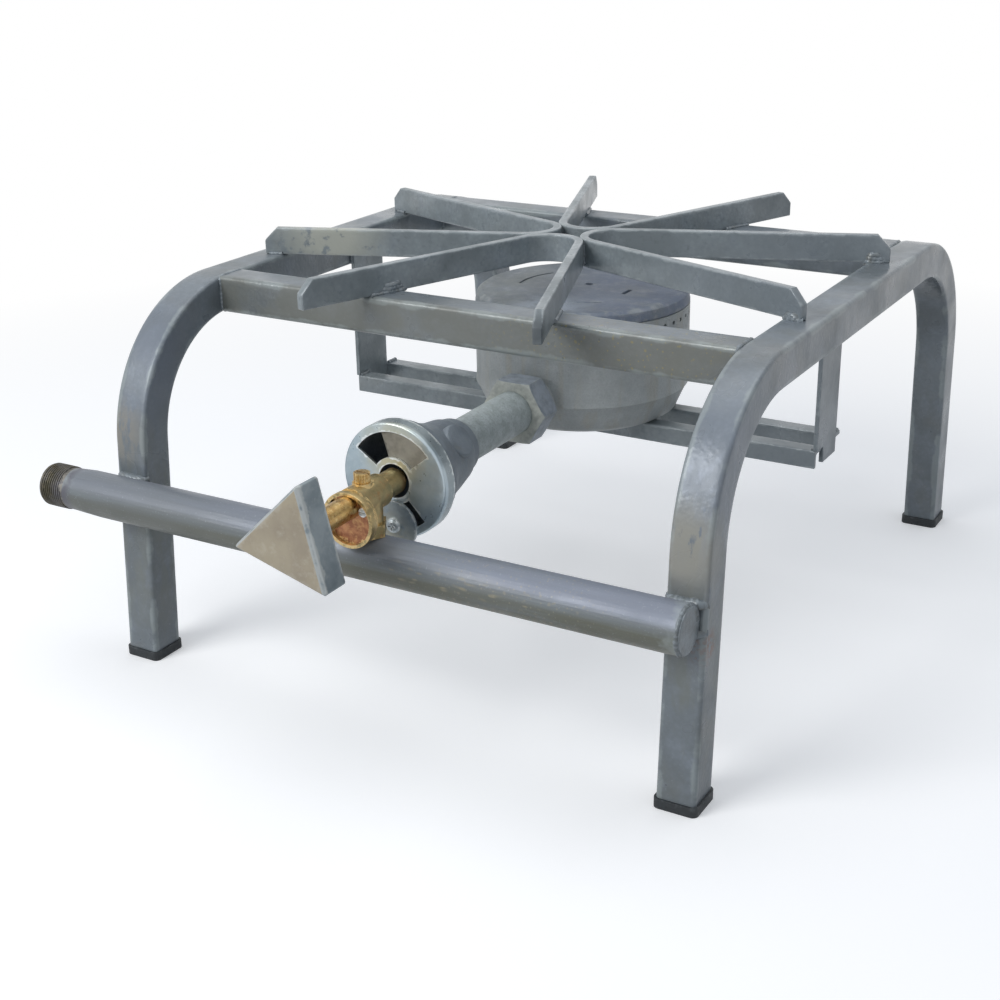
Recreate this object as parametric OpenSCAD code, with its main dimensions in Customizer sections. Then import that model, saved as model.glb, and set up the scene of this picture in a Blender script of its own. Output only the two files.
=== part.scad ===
// Single burner gas stove for a market stall.
// A frame of bent square tube carries a grate of four bent flat bars, and a cast burner
// stands on two angle rails between two hanging straps. Gas comes along a pipe across the
// front legs, through a brass valve, and into a bell with an air shutter.
// X runs along the stove's width, Y from the knob at the front to the back, and Z is up.
// The origin is on the floor, under the middle of the whole stove.

/* [Frame] */
// Width over the two side frames
frame_w = 428; // [400:1:460]
// Height of the side frames' top face
frame_h = 250; // [244:1:260]
// Depth over the legs where the top bends end
frame_d = 490; // [480:1:510]
// Outer side of the square tube
tube = 25; // [25:1:28]
// Wall of the square tube
tube_wall = 1.5; // [1.2:0.1:2]
// Rounding of the square tube's outer corners
tube_corner = 2.5; // [2.2:0.1:3]
// Outer radius of each top bend
bend_r = 101; // [90:1:110]
// Outward lean of each leg, in degrees
leg_lean = 3.55; // [2:0.05:5]
// Gap between the middles of the front and rear cross tubes
cross_span = 287; // [270:1:290]

/* [Foot caps] */
// Thickness of a foot cap under the tube
foot_h = 6.5; // [4:0.5:10]
// How far a foot cap stands out past the tube
foot_rim = 1.5; // [1:0.1:2]
// Depth of a foot cap's plug inside the tube
foot_plug = 16; // [10:1:20]
// Clearance between the plug and the tube's inside
foot_clear = 0.2; // [0.1:0.05:0.4]

/* [Grate] */
// Height of the flat bar
bar_h = 19; // [16:1:22]
// Thickness of the flat bar
bar_t = 6; // [5:0.5:6]
// Distance from the centre to each bar's tips, along its axis
grate_reach = 203; // [196:1:206]
// Distance from each bar's axis to its tips
grate_tip = 85; // [80:1:90]
// Middle radius of the bend at each bar's point
bar_bend_r = 22.3; // [22:0.1:23]
// Size of the corner cut off the top of each tip
bar_cut = 9; // [6:0.5:12]

/* [Burner hanger] */
// Width of the hanging straps
strap_w = 38.2; // [36:0.1:40]
// Thickness of the hanging straps
strap_t = 3; // [3:0.5:4]
// Height of the rails' top face
rail_z = 136.5; // [132:0.5:140]
// Leg of the rails' angle section
rail_leg = 12.7; // [12:0.1:15]
// Thickness of the rails' angle section
rail_t = 3; // [2.5:0.5:3]
// Position of the front rail's front face
rail_y = -1.7; // [-6:0.1:2]

/* [Burner] */
// Largest radius of the burner body
burner_r = 77.5; // [74:0.5:79]
// Distance of the burner's axis behind the frame's middle
burner_y = 18.5; // [16:0.5:22]
// Height of the joint between the burner's body and cap
burner_joint_z = 216; // [212:0.5:218]
// Height of the cap's top
cap_z = 225; // [223:0.5:228]
// Radius of the cap
cap_r = 76; // [73:0.5:77]
// Wall of the burner body
burner_wall = 5; // [4:0.5:6]
// Number of flame ports around the body
port_count = 48; // [24:1:52]
// Radius of the flame ports
port_r = 1.5; // [1:0.1:1.7]
// Clearance between the cap's skirt and the body
cap_clear = 0.5; // [0.35:0.05:0.8]

/* [Gas line] */
// Height of the burner's inlet, the bell and the knob
gas_z = 160; // [158:0.5:162]
// Outer radius of the gas pipe and the mixing pipe
pipe_r = 15; // [14.5:0.1:15.2]
// Bore radius of the gas pipe and the mixing pipe
pipe_bore = 12; // [11:0.1:12.5]
// Height of the gas pipe's axis
pipe_z = 122; // [118:0.5:126]
// Open left end of the gas pipe, from the middle
pipe_left = 258; // [245:1:270]
// Closed right end of the gas pipe, from the middle
pipe_right = 209; // [205:1:212]
// Length of the thread on the pipe's open end
thread_len = 20; // [16:1:22]
// How far the thread's crests lie below the pipe's surface
thread_cut = 0.3; // [0.2:0.05:0.4]

/* [Air shutter] */
// Outer radius of the shutter's rim
shutter_r = 37; // [36:0.5:38]
// Running clearance between the rim and the fixed plate
shutter_clear = 0.08; // [0.05:0.01:0.1]
// Sheet thickness of the shutter and the fixed plate
plate_t = 1.5; // [1.2:0.1:1.5]
// Depth of the shutter's rim
rim_depth = 11; // [9:0.5:12]
// Radius of the hole in the middle
eye_r = 11; // [10:0.5:11.5]
// Outer radius of the windows
window_r = 31.4; // [31.2:0.1:31.8]
// Inner radius of the windows
window_in = 15; // [14.5:0.5:15.5]
// Radius of the clamp washer
washer_r = 16.25; // [15:0.25:17]
// Radius of the clamp screw's shank
clamp_screw_r = 2.5; // [2.2:0.1:2.6]

/* [Valve] */
// Radius of the knob's stem
stem_r = 4.2; // [4:0.1:4.4]
// Running clearance of the stem and the plug
valve_clear = 0.06; // [0.04:0.01:0.08]
// Radius of the nozzle barrel
nozzle_r = 8.2; // [8:0.1:8.6]
// Radius of the round cover on the valve's front
bonnet_r = 17.5; // [16.5:0.5:18]
// Side of the three-sided knob, before its corners are rounded
knob_side = 67; // [62:1:70]
// Thickness of the knob
knob_t = 20; // [18:1:22]
// Rounding of the knob's three corners
knob_corner = 1.8; // [1.6:0.1:4]
// Turn of the knob's first corner from level, in degrees
knob_turn = 74; // [60:1:90]

/* [Hidden] */
$fn = 96;

// A bend is a hair larger in section than the straight runs that sink into its ends
swell = 0.02;
sink = 0.5;

// Frame
tube_x = frame_w/2 - tube/2;
tube_in = frame_w/2 - tube;
bend_y = frame_d/2 - bend_r;
bend_z = frame_h - bend_r;
bend_mid = bend_r - tube/2;
leg_top_y = bend_y + bend_mid*cos(leg_lean);
leg_top_z = bend_z + bend_mid*sin(leg_lean);
foot_y = leg_y(foot_h);
foot_side = tube + 2*foot_rim;
function leg_y(z) = leg_top_y + (leg_top_z - z)*tan(leg_lean);

// Grate: each bar's bend is centred so that neighbouring bends touch on the diagonals
bend_out = bar_bend_r + bar_t/2;
bar_bend_x = bend_out*sqrt(2);
tip_far = norm([grate_reach - bar_bend_x, grate_tip]);
arm_turn = atan2(grate_tip, grate_reach - bar_bend_x) - asin(bar_bend_r/tip_far);
arm_len = sqrt(tip_far*tip_far - bar_bend_r*bar_bend_r);
grate_z = frame_h;

// Burner hanger
strap_x = tube_in - strap_t/2;
strap_top = frame_h - tube/2;
rear_rail_y = rail_y + strap_w;

// Burner
burner_z = rail_z;
step_z = burner_z + 21.5;
skirt_r = burner_r - burner_wall - cap_clear;
skirt_h = 3;
cap_wall = 5;
port_z = burner_joint_z - 6;

// Gas line along Y, from the burner to the knob
neck_len = 83.5;
neck_end = burner_y - neck_len;
neck_r = pipe_r + 3;
hex_len = 20;
hex_front = neck_end - hex_len;
hex_flat = 42.5;
hex_chamfer = 2.2;
seat_depth = 16;
pipe_seat = 0.05;
pipe_y = -(leg_y(pipe_z) + tube/2/cos(leg_lean)) - pipe_r;
plate_front = pipe_y + 31;
bell_len = 101;
bell_back = plate_front + bell_len;
bell_seat = 18;
mix_front = bell_back - bell_seat;
plate_gap = 0.3;
fixed_front = plate_front + plate_t + plate_gap;
fixed_back = fixed_front + plate_t;
fixed_r = shutter_r - plate_t - shutter_clear;
clamp_r = 28.5;
washer_t = 2;
washer_gap = 0.1;
washer_back = plate_front - washer_gap;
screw_head_r = 4.8;
screw_head_h = 3;

// Bell: the share of its flare that each ring has, by its share of the length
collar_r = pipe_r + 3.4;
mouth_r = fixed_r - 0.9;
bell_wall = 3;
boss_r = 7.5;
boss_at = 28;
bell_shape = [[0.164, 0], [0.307, 0.05], [0.45, 0.16], [0.594, 0.39], [0.737, 0.69], [0.88, 0.97], [1, 1]];

// Valve
valve_r = 10.5;
valve_half = 14;
valve_back = pipe_y + valve_half;
valve_front = pipe_y - valve_half;
flange_t = 3;
bonnet_z = gas_z - bonnet_r + 9.5;
bonnet_t = 2;
bonnet_rim = 2.2;
bonnet_depth = 3;
bonnet_face = valve_front - bonnet_t;
bonnet_screw_x = 10.5;
bonnet_screw_z = gas_z - 1.3;
bonnet_screw_r = 1.5;
flow_y = pipe_y - 2;
flow_z = gas_z + valve_r + 0.5;
flow_r = 3;
flow_head_r = 5;
flow_head_h = 6;
foot_z = pipe_z + pipe_r;
foot_hex = 23;
foot_hex_h = 8;
foot_thread_r = 6;
foot_sink = 5;
foot_bore = 3.2;
plug_back_r = 6.4;
plug_front_r = 7.4;
plug_back = valve_back - 3;
plug_front = valve_front + 9;
nozzle_len = 24;
injector_tip = valve_back + nozzle_len;
injector_r = 5;
injector_len = 14;
injector_out = 6;
stem_collar_r = 7.3;
stem_collar_len = 30;
knob_out = 43;
knob_back = bonnet_face - knob_out;
stem_seat = 14;
stem_flat = stem_r - 1.2;
knob_edge = 2.5;
knob_slope = 35;
knob_front = knob_back - knob_t;
knob_round = knob_side/sqrt(3);

// The origin is under the middle of the box that holds everything
x_low = -pipe_left;
x_high = tube_x + foot_side/2;
y_low = knob_front;
y_high = foot_y + foot_side/2;
module placed() {
    translate([-(x_low + x_high)/2, -(y_low + y_high)/2, 0]) children();
}

// A square with rounded corners, centred
module round_square(side, r) {
    square([side, side - 2*r], center = true);
    square([side - 2*r, side], center = true);
    for (x = [-1, 1], y = [-1, 1]) {
        translate([x*(side/2 - r), y*(side/2 - r)]) circle(r);
    }
}

// Section of the frame's straight square tube
module tube_section() {
    difference() {
        round_square(tube, tube_corner);
        round_square(tube - 2*tube_wall, tube_corner - tube_wall);
    }
}

// Turns a piece made along +Z, standing at the origin, to lie along -Y at the gas line's height
module along_gas(y) {
    translate([0, y, gas_z]) rotate([90, 0, 0]) children();
}

// A bar of rounded square section bent into a side frame: a top run, two bends and two leaning legs
module bent_bar(side, r, more) {
    translate([0, 0, frame_h - tube/2]) rotate([90, 0, 0]) {
        linear_extrude(2*(bend_y + sink), center = true) round_square(side, r);
    }
    for (end = [0, 1]) mirror([0, end, 0]) {
        translate([0, bend_y, bend_z]) rotate([90, 0, 90]) rotate([0, 0, leg_lean]) {
            rotate_extrude(angle = 90 - leg_lean) translate([bend_mid, 0]) {
                round_square(side + 2*swell, r + swell);
            }
        }
        translate([0, leg_top_y, leg_top_z]) rotate([180 + leg_lean, 0, 0]) translate([0, 0, -sink]) {
            linear_extrude(leg_top_z + more) round_square(side, r);
        }
    }
}

// One side frame: the bent tube, cut level above the floor for its foot caps
module side_frame(side) {
    translate([side*tube_x, 0, 0]) difference() {
        bent_bar(tube, tube_corner, 0);
        bent_bar(tube - 2*tube_wall, tube_corner - tube_wall, 5);
        translate([-tube, -frame_d, foot_h - 2*tube]) cube([2*tube, 2*frame_d, 2*tube]);
    }
}

module left_side_frame() {
    color("slategray") placed() side_frame(-1);
}

module right_side_frame() {
    color("slategray") placed() side_frame(1);
}

module cross_tube(y) {
    color("slategray") placed() translate([0, y, frame_h - tube/2]) rotate([0, 90, 0]) {
        linear_extrude(2*tube_in, center = true) tube_section();
    }
}

module front_cross_tube() {
    cross_tube(-cross_span/2);
}

module rear_cross_tube() {
    cross_tube(cross_span/2);
}

// One foot cap: a pad under the tube and a hollow plug that leans with the leg
module foot_cap(side, end) {
    plug_side = tube - 2*tube_wall - 2*foot_clear;
    color([0.14, 0.15, 0.16]) placed() translate([side*tube_x, 0, 0]) mirror([0, end < 0 ? 1 : 0, 0]) {
        translate([0, foot_y, 0]) linear_extrude(foot_h) round_square(foot_side, 4);
        difference() {
            translate([0, leg_y(foot_h + foot_plug), foot_h + foot_plug]) rotate([180 + leg_lean, 0, 0]) {
                linear_extrude(foot_plug + foot_h/2) difference() {
                    round_square(plug_side, 1.5);
                    round_square(plug_side - 5, 1);
                }
            }
            translate([-tube, foot_y - tube, -tube]) cube([2*tube, 2*tube, tube + foot_h/3]);
        }
    }
}

module foot_cap_front_left() {
    foot_cap(-1, -1);
}

module foot_cap_front_right() {
    foot_cap(1, -1);
}

module foot_cap_rear_left() {
    foot_cap(-1, 1);
}

module foot_cap_rear_right() {
    foot_cap(1, 1);
}

// One bent bar of the grate, its point near the centre, turned to face one side
module grate_bar(turn) {
    color("slategray") placed() rotate([0, 0, turn]) translate([bar_bend_x, 0, grate_z]) {
        rotate([0, 0, 90 + arm_turn]) rotate_extrude(angle = 180 - 2*arm_turn) {
            translate([bar_bend_r - bar_t/2 - swell, 0]) square([bar_t + 2*swell, bar_h]);
        }
        for (arm = [0, 1]) mirror([0, arm, 0]) rotate([0, 0, arm_turn]) {
            translate([0, bar_bend_r + bar_t/2, 0]) rotate([90, 0, 0]) linear_extrude(bar_t) {
                polygon([
                    [-sink, 0],
                    [arm_len, 0],
                    [arm_len, bar_h - bar_cut],
                    [arm_len - bar_cut, bar_h],
                    [-sink, bar_h]
                ]);
            }
        }
    }
}

module grate_bar_front() {
    grate_bar(-90);
}

module grate_bar_right() {
    grate_bar(0);
}

module grate_bar_rear() {
    grate_bar(90);
}

module grate_bar_left() {
    grate_bar(180);
}

// One strap: welded to the side tube, standing on the front rail, cut down behind it to the rear rail
module hanger_strap(side) {
    color("slategray") placed() translate([side*strap_x - strap_t/2, 0, 0]) rotate([90, 0, 90]) {
        linear_extrude(strap_t) polygon([
            [rail_y, rail_z],
            [rail_y + rail_leg, rail_z],
            [rail_y + rail_leg, rail_z - rail_leg + 1],
            [rear_rail_y, rail_z - rail_leg + 1],
            [rear_rail_y, strap_top],
            [rail_y, strap_top]
        ]);
    }
}

module hanger_strap_left() {
    hanger_strap(-1);
}

module hanger_strap_right() {
    hanger_strap(1);
}

// One angle rail, its upright leg at the front and its level leg going back
module hanger_rail(y) {
    color("slategray") placed() translate([-tube_in + strap_t/2, y, rail_z]) rotate([90, 0, 90]) {
        linear_extrude(2*tube_in - strap_t) polygon([
            [0, 0],
            [0, -rail_leg],
            [rail_t, -rail_leg],
            [rail_t, -rail_t],
            [rail_leg, -rail_t],
            [rail_leg, 0]
        ]);
    }
}

module hanger_rail_front() {
    hanger_rail(rail_y);
}

module hanger_rail_rear() {
    hanger_rail(rear_rail_y);
}

// Burner body: an open cast bowl with a side neck and a row of flame ports below its rim
module burner_body() {
    inner = burner_r - burner_wall;
    color("gray") placed() translate([0, burner_y, 0]) difference() {
        union() {
            rotate_extrude() polygon([
                [0, burner_z],
                [burner_r - 13.5, burner_z],
                [burner_r - 8, burner_z + 3.5],
                [burner_r - 1.5, step_z - 3],
                [burner_r + 0.5, step_z],
                [burner_r, step_z + 3],
                [burner_r, burner_joint_z],
                [0, burner_joint_z]
            ]);
            translate([0, 0, gas_z]) rotate([90, 0, 0]) cylinder(r = neck_r, h = burner_y - neck_end);
        }
        rotate_extrude() polygon([
            [0, burner_z + burner_wall],
            [inner - 10.5, burner_z + burner_wall],
            [inner - 2, step_z],
            [inner, step_z + 3],
            [inner, burner_joint_z + 1],
            [0, burner_joint_z + 1]
        ]);
        translate([0, 0, gas_z]) rotate([90, 0, 0]) cylinder(r = pipe_bore + 0.5, h = burner_y - neck_end + 1);
        for (i = [0:port_count - 1]) rotate([0, 0, i*360/port_count]) {
            translate([inner - 2, 0, port_z]) rotate([0, 90, 0]) cylinder(r = port_r, h = burner_wall + 4);
        }
    }
}

// Burner cap: a lid with a skirt inside the body, two groove arcs, a round hole and a slit
module burner_cap() {
    groove_r = 45.5;
    color("gray") placed() translate([0, burner_y, 0]) difference() {
        rotate_extrude() polygon([
            [0, cap_z - cap_wall],
            [skirt_r - 9, cap_z - cap_wall],
            [skirt_r - 4, burner_joint_z],
            [skirt_r - 4, burner_joint_z - skirt_h],
            [skirt_r, burner_joint_z - skirt_h],
            [skirt_r, burner_joint_z + 0.1],
            [burner_r - 0.5, burner_joint_z + 0.1],
            [burner_r, burner_joint_z + 1.5],
            [cap_r, cap_z - 2],
            [cap_r - 3, cap_z],
            [0, cap_z]
        ]);
        for (arc = [[-80, 34], [145, 50]]) rotate([0, 0, arc[0]]) rotate_extrude(angle = arc[1]) {
            translate([groove_r, cap_z - 1.2]) square([1.8, 3]);
        }
        translate([1, 8.5, cap_z - 10]) cylinder(r = 2.8, h = 20);
        translate([34, -6.5, cap_z - 10]) cube([2.8, 13, 20]);
    }
}

// Hexagon nut that joins the mixing pipe to the burner's neck
module inlet_hex_nut() {
    corner_r = hex_flat/2/cos(30);
    slope = hex_chamfer*0.64;
    color("gray") placed() along_gas(neck_end) difference() {
        intersection() {
            cylinder(r = corner_r, h = hex_len, $fn = 6);
            rotate_extrude() polygon([
                [0, 0],
                [corner_r - hex_chamfer, 0],
                [corner_r, slope],
                [corner_r, hex_len - slope],
                [corner_r - hex_chamfer, hex_len],
                [0, hex_len]
            ]);
        }
        translate([0, 0, -1]) cylinder(r = pipe_bore + 0.5, h = hex_len + 2);
        translate([0, 0, hex_len - seat_depth]) cylinder(r = pipe_r + pipe_seat, h = hex_len);
    }
}

// Pipe between the bell and the burner
module mixing_pipe() {
    back = hex_front + seat_depth;
    color("gray") placed() along_gas(back) difference() {
        cylinder(r = pipe_r, h = back - mix_front);
        translate([0, 0, -1]) cylinder(r = pipe_bore, h = back - mix_front + 2);
    }
}

// Cast bell that draws in air: a collar, a flaring horn, a side boss and a flat mouth
module venturi_bell() {
    mouth = bell_back - fixed_back;
    throat = mouth*bell_shape[0][0];
    bore_flare = mouth_r - bell_wall - pipe_bore;
    color("dimgray") placed() along_gas(bell_back) difference() {
        union() {
            rotate_extrude() polygon(concat(
                [[0, 0], [collar_r - 1.6, 0], [collar_r, 1.6]],
                [for (ring = bell_shape) [collar_r + ring[1]*(mouth_r - collar_r), ring[0]*mouth]],
                [[0, mouth]]
            ));
            bell_boss(0) cylinder(r = boss_r, h = 3*boss_r);
        }
        translate([0, 0, -1]) cylinder(r = pipe_r + pipe_seat, h = bell_seat + 1.2);
        rotate_extrude() polygon(concat(
            [[0, throat - 6], [pipe_bore, throat - 6]],
            [for (ring = bell_shape) [pipe_bore + ring[1]*bore_flare, ring[0]*mouth]],
            [[pipe_bore + bore_flare, mouth + 1], [0, mouth + 1]]
        ));
        bell_boss(3*boss_r - 3.5) cylinder(r = boss_r/3, h = 6);
    }
}

// Puts a piece on the axis of the bell's side boss
module bell_boss(out) {
    translate([0, 0, boss_at]) rotate([-20, 90, 0]) translate([0, 0, out]) children();
}

// A ring sector between two radii, from one angle to another
module window(from, to) {
    rotate([0, 0, from]) rotate_extrude(angle = to - from) {
        translate([window_in, -2]) square([window_r - window_in, 2*plate_t + 4]);
    }
}

// Fixed plate on the bell's mouth, with two windows offset from the shutter's
module air_plate() {
    color("silver") placed() along_gas(fixed_back) difference() {
        cylinder(r = fixed_r, h = plate_t);
        translate([0, 0, -1]) cylinder(r = eye_r, h = plate_t + 2);
        window(107, 185);
        window(-73, 5);
        rotate([0, 0, -90]) translate([clamp_r, 0, -1]) cylinder(r = clamp_screw_r, h = plate_t + 2);
    }
}

// Turning cup with two windows: its rim runs on the fixed plate's edge
module air_shutter() {
    edge = plate_t;
    color("silver") placed() along_gas(plate_front + rim_depth) difference() {
        rotate_extrude() {
            polygon([
                [0, rim_depth - plate_t],
                [shutter_r - plate_t, rim_depth - plate_t],
                [shutter_r - plate_t, 0],
                [shutter_r, 0],
                [shutter_r, rim_depth - edge],
                [shutter_r - edge, rim_depth],
                [0, rim_depth]
            ]);
            intersection() {
                translate([shutter_r - edge, rim_depth - edge]) circle(edge);
                translate([shutter_r - edge, rim_depth - edge]) square(edge);
            }
        }
        translate([0, 0, rim_depth - plate_t - 1]) cylinder(r = eye_r, h = plate_t + 2);
        translate([0, 0, rim_depth - plate_t]) window(38, 146);
        translate([0, 0, rim_depth - plate_t]) window(-133, -47);
    }
}

// Washer that clamps the shutter
module clamp_washer() {
    color("silver") placed() translate([0, 0, -clamp_r]) along_gas(washer_back) difference() {
        cylinder(r = washer_r, h = washer_t);
        translate([0, 0, -1]) cylinder(r = clamp_screw_r + 0.2, h = washer_t + 2);
    }
}

// Cross-head screw through the washer and the shutter's lower window into the fixed plate
module clamp_screw() {
    shank = fixed_back + 3 - (washer_back - washer_t);
    slot_len = screw_head_r + 0.4;
    color("silver") placed() translate([0, 0, -clamp_r]) along_gas(washer_back - washer_t) difference() {
        union() {
            rotate_extrude() polygon([
                [0, 0],
                [screw_head_r, 0],
                [screw_head_r, 0.4*screw_head_h],
                [screw_head_r - 0.8, 0.77*screw_head_h],
                [screw_head_r/2, screw_head_h],
                [0, screw_head_h]
            ]);
            translate([0, 0, -shank]) cylinder(r = clamp_screw_r - 0.02, h = shank + 1);
        }
        for (turn = [0, 90]) rotate([0, 0, turn]) {
            translate([-slot_len/2, -0.5, screw_head_h/2]) cube([slot_len, 1, screw_head_h]);
        }
    }
}

// Gas pipe across the front legs: open and cut back for a thread at the left, bored for the valve's foot
module gas_pipe() {
    color("slategray") placed() difference() {
        translate([-pipe_left, pipe_y, pipe_z]) rotate([0, 90, 0]) {
            cylinder(r = pipe_r - thread_cut, h = pipe_left);
            translate([0, 0, thread_len]) cylinder(r = pipe_r, h = pipe_left + pipe_right - thread_len);
        }
        translate([-pipe_left - 1, pipe_y, pipe_z]) rotate([0, 90, 0]) {
            cylinder(r = pipe_bore, h = pipe_left + pipe_right - 3);
        }
        translate([0, pipe_y, pipe_z]) cylinder(r = foot_thread_r + pipe_seat, h = pipe_r + 1);
    }
}

// Round plug welded on the pipe's right end
module pipe_end_plug() {
    color("slategray") placed() translate([pipe_right, pipe_y, pipe_z]) rotate([0, 90, 0]) {
        cylinder(r = pipe_r - 1, h = 1.5);
    }
}

// Valve body: a barrel with a tapered bore, a threaded foot, a nozzle and a top boss
module valve_body() {
    nozzle_end = injector_tip - injector_out;
    color("darkkhaki") placed() difference() {
        union() {
            along_gas(valve_back) cylinder(r = valve_r, h = 2*valve_half);
            translate([0, 0, bonnet_z - gas_z]) along_gas(valve_front + flange_t) {
                cylinder(r = bonnet_r - 1, h = flange_t);
            }
            translate([0, pipe_y, foot_z]) cylinder(r = valve_r, h = gas_z - foot_z);
            translate([0, pipe_y, foot_z + 0.1]) cylinder(r = foot_hex/2/cos(30), h = foot_hex_h, $fn = 6);
            translate([0, pipe_y, foot_z - foot_sink]) cylinder(r = foot_thread_r, h = foot_hex_h);
            along_gas(nozzle_end) cylinder(r = nozzle_r, h = nozzle_end - valve_back + 2);
            translate([0, flow_y, gas_z]) cylinder(r = 2*flow_r, h = flow_z - gas_z - 0.1);
        }
        along_gas(plug_back) {
            cylinder(r1 = plug_back_r + valve_clear, r2 = plug_front_r + valve_clear, h = plug_back - plug_front);
        }
        along_gas(plug_front + sink) cylinder(r = plug_front_r + 1.1, h = 2*valve_half);
        along_gas(injector_tip) cylinder(r = 3, h = injector_tip - plug_back + 1);
        along_gas(injector_tip) cylinder(r = injector_r + pipe_seat, h = injector_len + 2);
        translate([0, pipe_y, foot_z - foot_sink - 1]) cylinder(r = foot_bore, h = gas_z - foot_z + 4);
        translate([0, flow_y, flow_z - 2.8]) cylinder(r = flow_r + valve_clear, h = 6);
        for (side = [-1, 1]) translate([side*bonnet_screw_x, valve_front - 1, bonnet_screw_z]) {
            rotate([-90, 0, 0]) cylinder(r = bonnet_screw_r, h = flange_t + 2);
        }
    }
}

// Brass jet screwed into the nozzle, with a fine hole in its tip
module injector() {
    color("darkkhaki") placed() along_gas(injector_tip) difference() {
        union() {
            cylinder(r = injector_r, h = injector_len);
            translate([0, 0, -0.5]) cylinder(r = 3, h = 2);
        }
        translate([0, 0, 2]) cylinder(r = 2.6, h = injector_len);
        translate([0, 0, -2]) cylinder(r = 0.5, h = 6);
    }
}

// Knurled screw on top of the valve body that sets the small flame
module flow_screw() {
    color("darkkhaki") placed() translate([0, flow_y, flow_z]) difference() {
        union() {
            translate([0, 0, -2.6]) cylinder(r = flow_r, h = 4);
            cylinder(r = flow_head_r, h = flow_head_h);
        }
        for (i = [0:15]) rotate([0, 0, i*22.5]) {
            translate([flow_head_r + 0.2, 0, -1]) cylinder(r = 0.6, h = flow_head_h + 2, $fn = 16);
        }
        translate([-6, -0.5, flow_head_h - 1.2]) cube([12, 1, 3]);
    }
}

// Tapered plug that turns in the valve body: a cross hole meets a bore to the nozzle
module valve_plug() {
    color("darkkhaki") placed() difference() {
        union() {
            along_gas(plug_back) cylinder(r1 = plug_back_r, r2 = plug_front_r, h = plug_back - plug_front);
            along_gas(plug_front) cylinder(r = 3.4, h = 3);
        }
        along_gas(plug_back + 1) cylinder(r = 2.6, h = plug_back - pipe_y + 4);
        translate([0, pipe_y, gas_z]) rotate([0, 90, 0]) cylinder(r = 2.4, h = 10);
    }
}

// Spring that presses the plug into its taper, as one unbroken wire
spring_turns = 3;
spring_wire = 0.5;
spring_r = 5.2;
spring_len = valve_front - plug_front + 8.4;
spring_rings = 8*spring_turns;
spring_pitch = (plug_front - valve_front - 2*spring_wire - 0.4)/spring_turns;
function spring_point(ring, side) = let (
    turn = 360*ring/8,
    around = 360*side/6,
    r = spring_r + spring_wire*cos(around)
) [r*cos(turn), r*sin(turn), spring_wire + 0.2 + spring_pitch*ring/8 + spring_wire*sin(around)];
echo("least gap between spring turns", spring_pitch - 2*spring_wire);

module plug_spring() {
    points = [for (ring = [0:spring_rings], side = [0:5]) spring_point(ring, side)];
    walls = [for (ring = [0:spring_rings - 1], side = [0:5]) let (
        a = ring*6 + side,
        b = ring*6 + (side + 1) % 6
    ) [a, a + 6, b + 6, b]];
    start = [for (side = [0:5]) side];
    end = [for (side = [5:-1:0]) spring_rings*6 + side];
    color("silver") placed() along_gas(plug_front) {
        polyhedron(points, concat(walls, [start], [end]), convexity = 6);
    }
}

// Round cover on the valve's front, a shallow cup with a hole for the stem
module valve_bonnet() {
    color("darkkhaki") placed() difference() {
        translate([0, 0, bonnet_z - gas_z]) along_gas(valve_front) difference() {
            cylinder(r = bonnet_r, h = bonnet_t + bonnet_depth);
            translate([0, 0, bonnet_t]) cylinder(r = bonnet_r - bonnet_rim, h = bonnet_depth + 1);
        }
        along_gas(valve_front + 1) cylinder(r = stem_r + valve_clear, h = 20);
        for (side = [-1, 1]) translate([side*bonnet_screw_x, bonnet_face - 1, bonnet_screw_z]) {
            rotate([-90, 0, 0]) cylinder(r = bonnet_screw_r + 0.2, h = 10);
        }
    }
}

// The two screws that hold the cover
module bonnet_screws() {
    color("silver") placed() for (side = [-1, 1]) {
        translate([side*bonnet_screw_x, bonnet_face, bonnet_screw_z]) difference() {
            union() {
                rotate([90, 0, 0]) cylinder(r = 2.8, h = 2);
                translate([0, -1, 0]) rotate([-90, 0, 0]) cylinder(r = bonnet_screw_r - 0.05, h = bonnet_t + flange_t + 0.5);
            }
            translate([-3.5, -3, -0.4]) cube([7, 1.8, 0.8]);
        }
    }
}

// Stem from the plug out to the knob, with a thick collar in front of the cover and a flat at its end
module valve_stem() {
    color("darkkhaki") placed() difference() {
        union() {
            along_gas(plug_front - 3.1) cylinder(r = stem_r, h = plug_front - 3.1 - knob_back + stem_seat);
            along_gas(bonnet_face - 0.3) cylinder(r = stem_collar_r, h = stem_collar_len);
        }
        translate([-2*stem_r, knob_back - stem_seat - 2, gas_z + stem_flat]) {
            cube([4*stem_r, stem_seat + 2, 2*stem_r]);
        }
    }
}

// Three-sided knob with rounded corners and a sloped front edge, bored for the stem
module knob() {
    color("dimgray") placed() along_gas(knob_back) rotate([0, 0, knob_turn]) difference() {
        linear_extrude(knob_t) knob_outline();
        for (i = [0:2]) rotate([0, 0, i*120 + 60]) translate([knob_round/2, 0, knob_t - knob_edge]) {
            rotate([0, -knob_slope, 0]) translate([0, -knob_side, -knob_edge]) {
                cube([knob_t, 2*knob_side, knob_t]);
            }
        }
        difference() {
            translate([0, 0, -1]) cylinder(r = stem_r, h = stem_seat + 1.2);
            rotate([0, 0, 90 - knob_turn]) translate([stem_flat, -2*stem_r, -2]) {
                cube([2*stem_r, 4*stem_r, stem_seat + 6]);
            }
        }
    }
}

// The knob's face: three sides joined by round corners
module knob_outline() {
    r = knob_corner;
    far = knob_round - 2*knob_corner;
    module corner(i) {
        rotate(i*120) translate([far, 0]) circle(r);
    }
    for (i = [0:2]) {
        corner(i);
        rotate(i*120 + 60) translate([far/2, 0]) square([2*r, far*sqrt(3)], center = true);
    }
    polygon([for (i = [0:2]) far*[cos(i*120), sin(i*120)]]);
}

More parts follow.
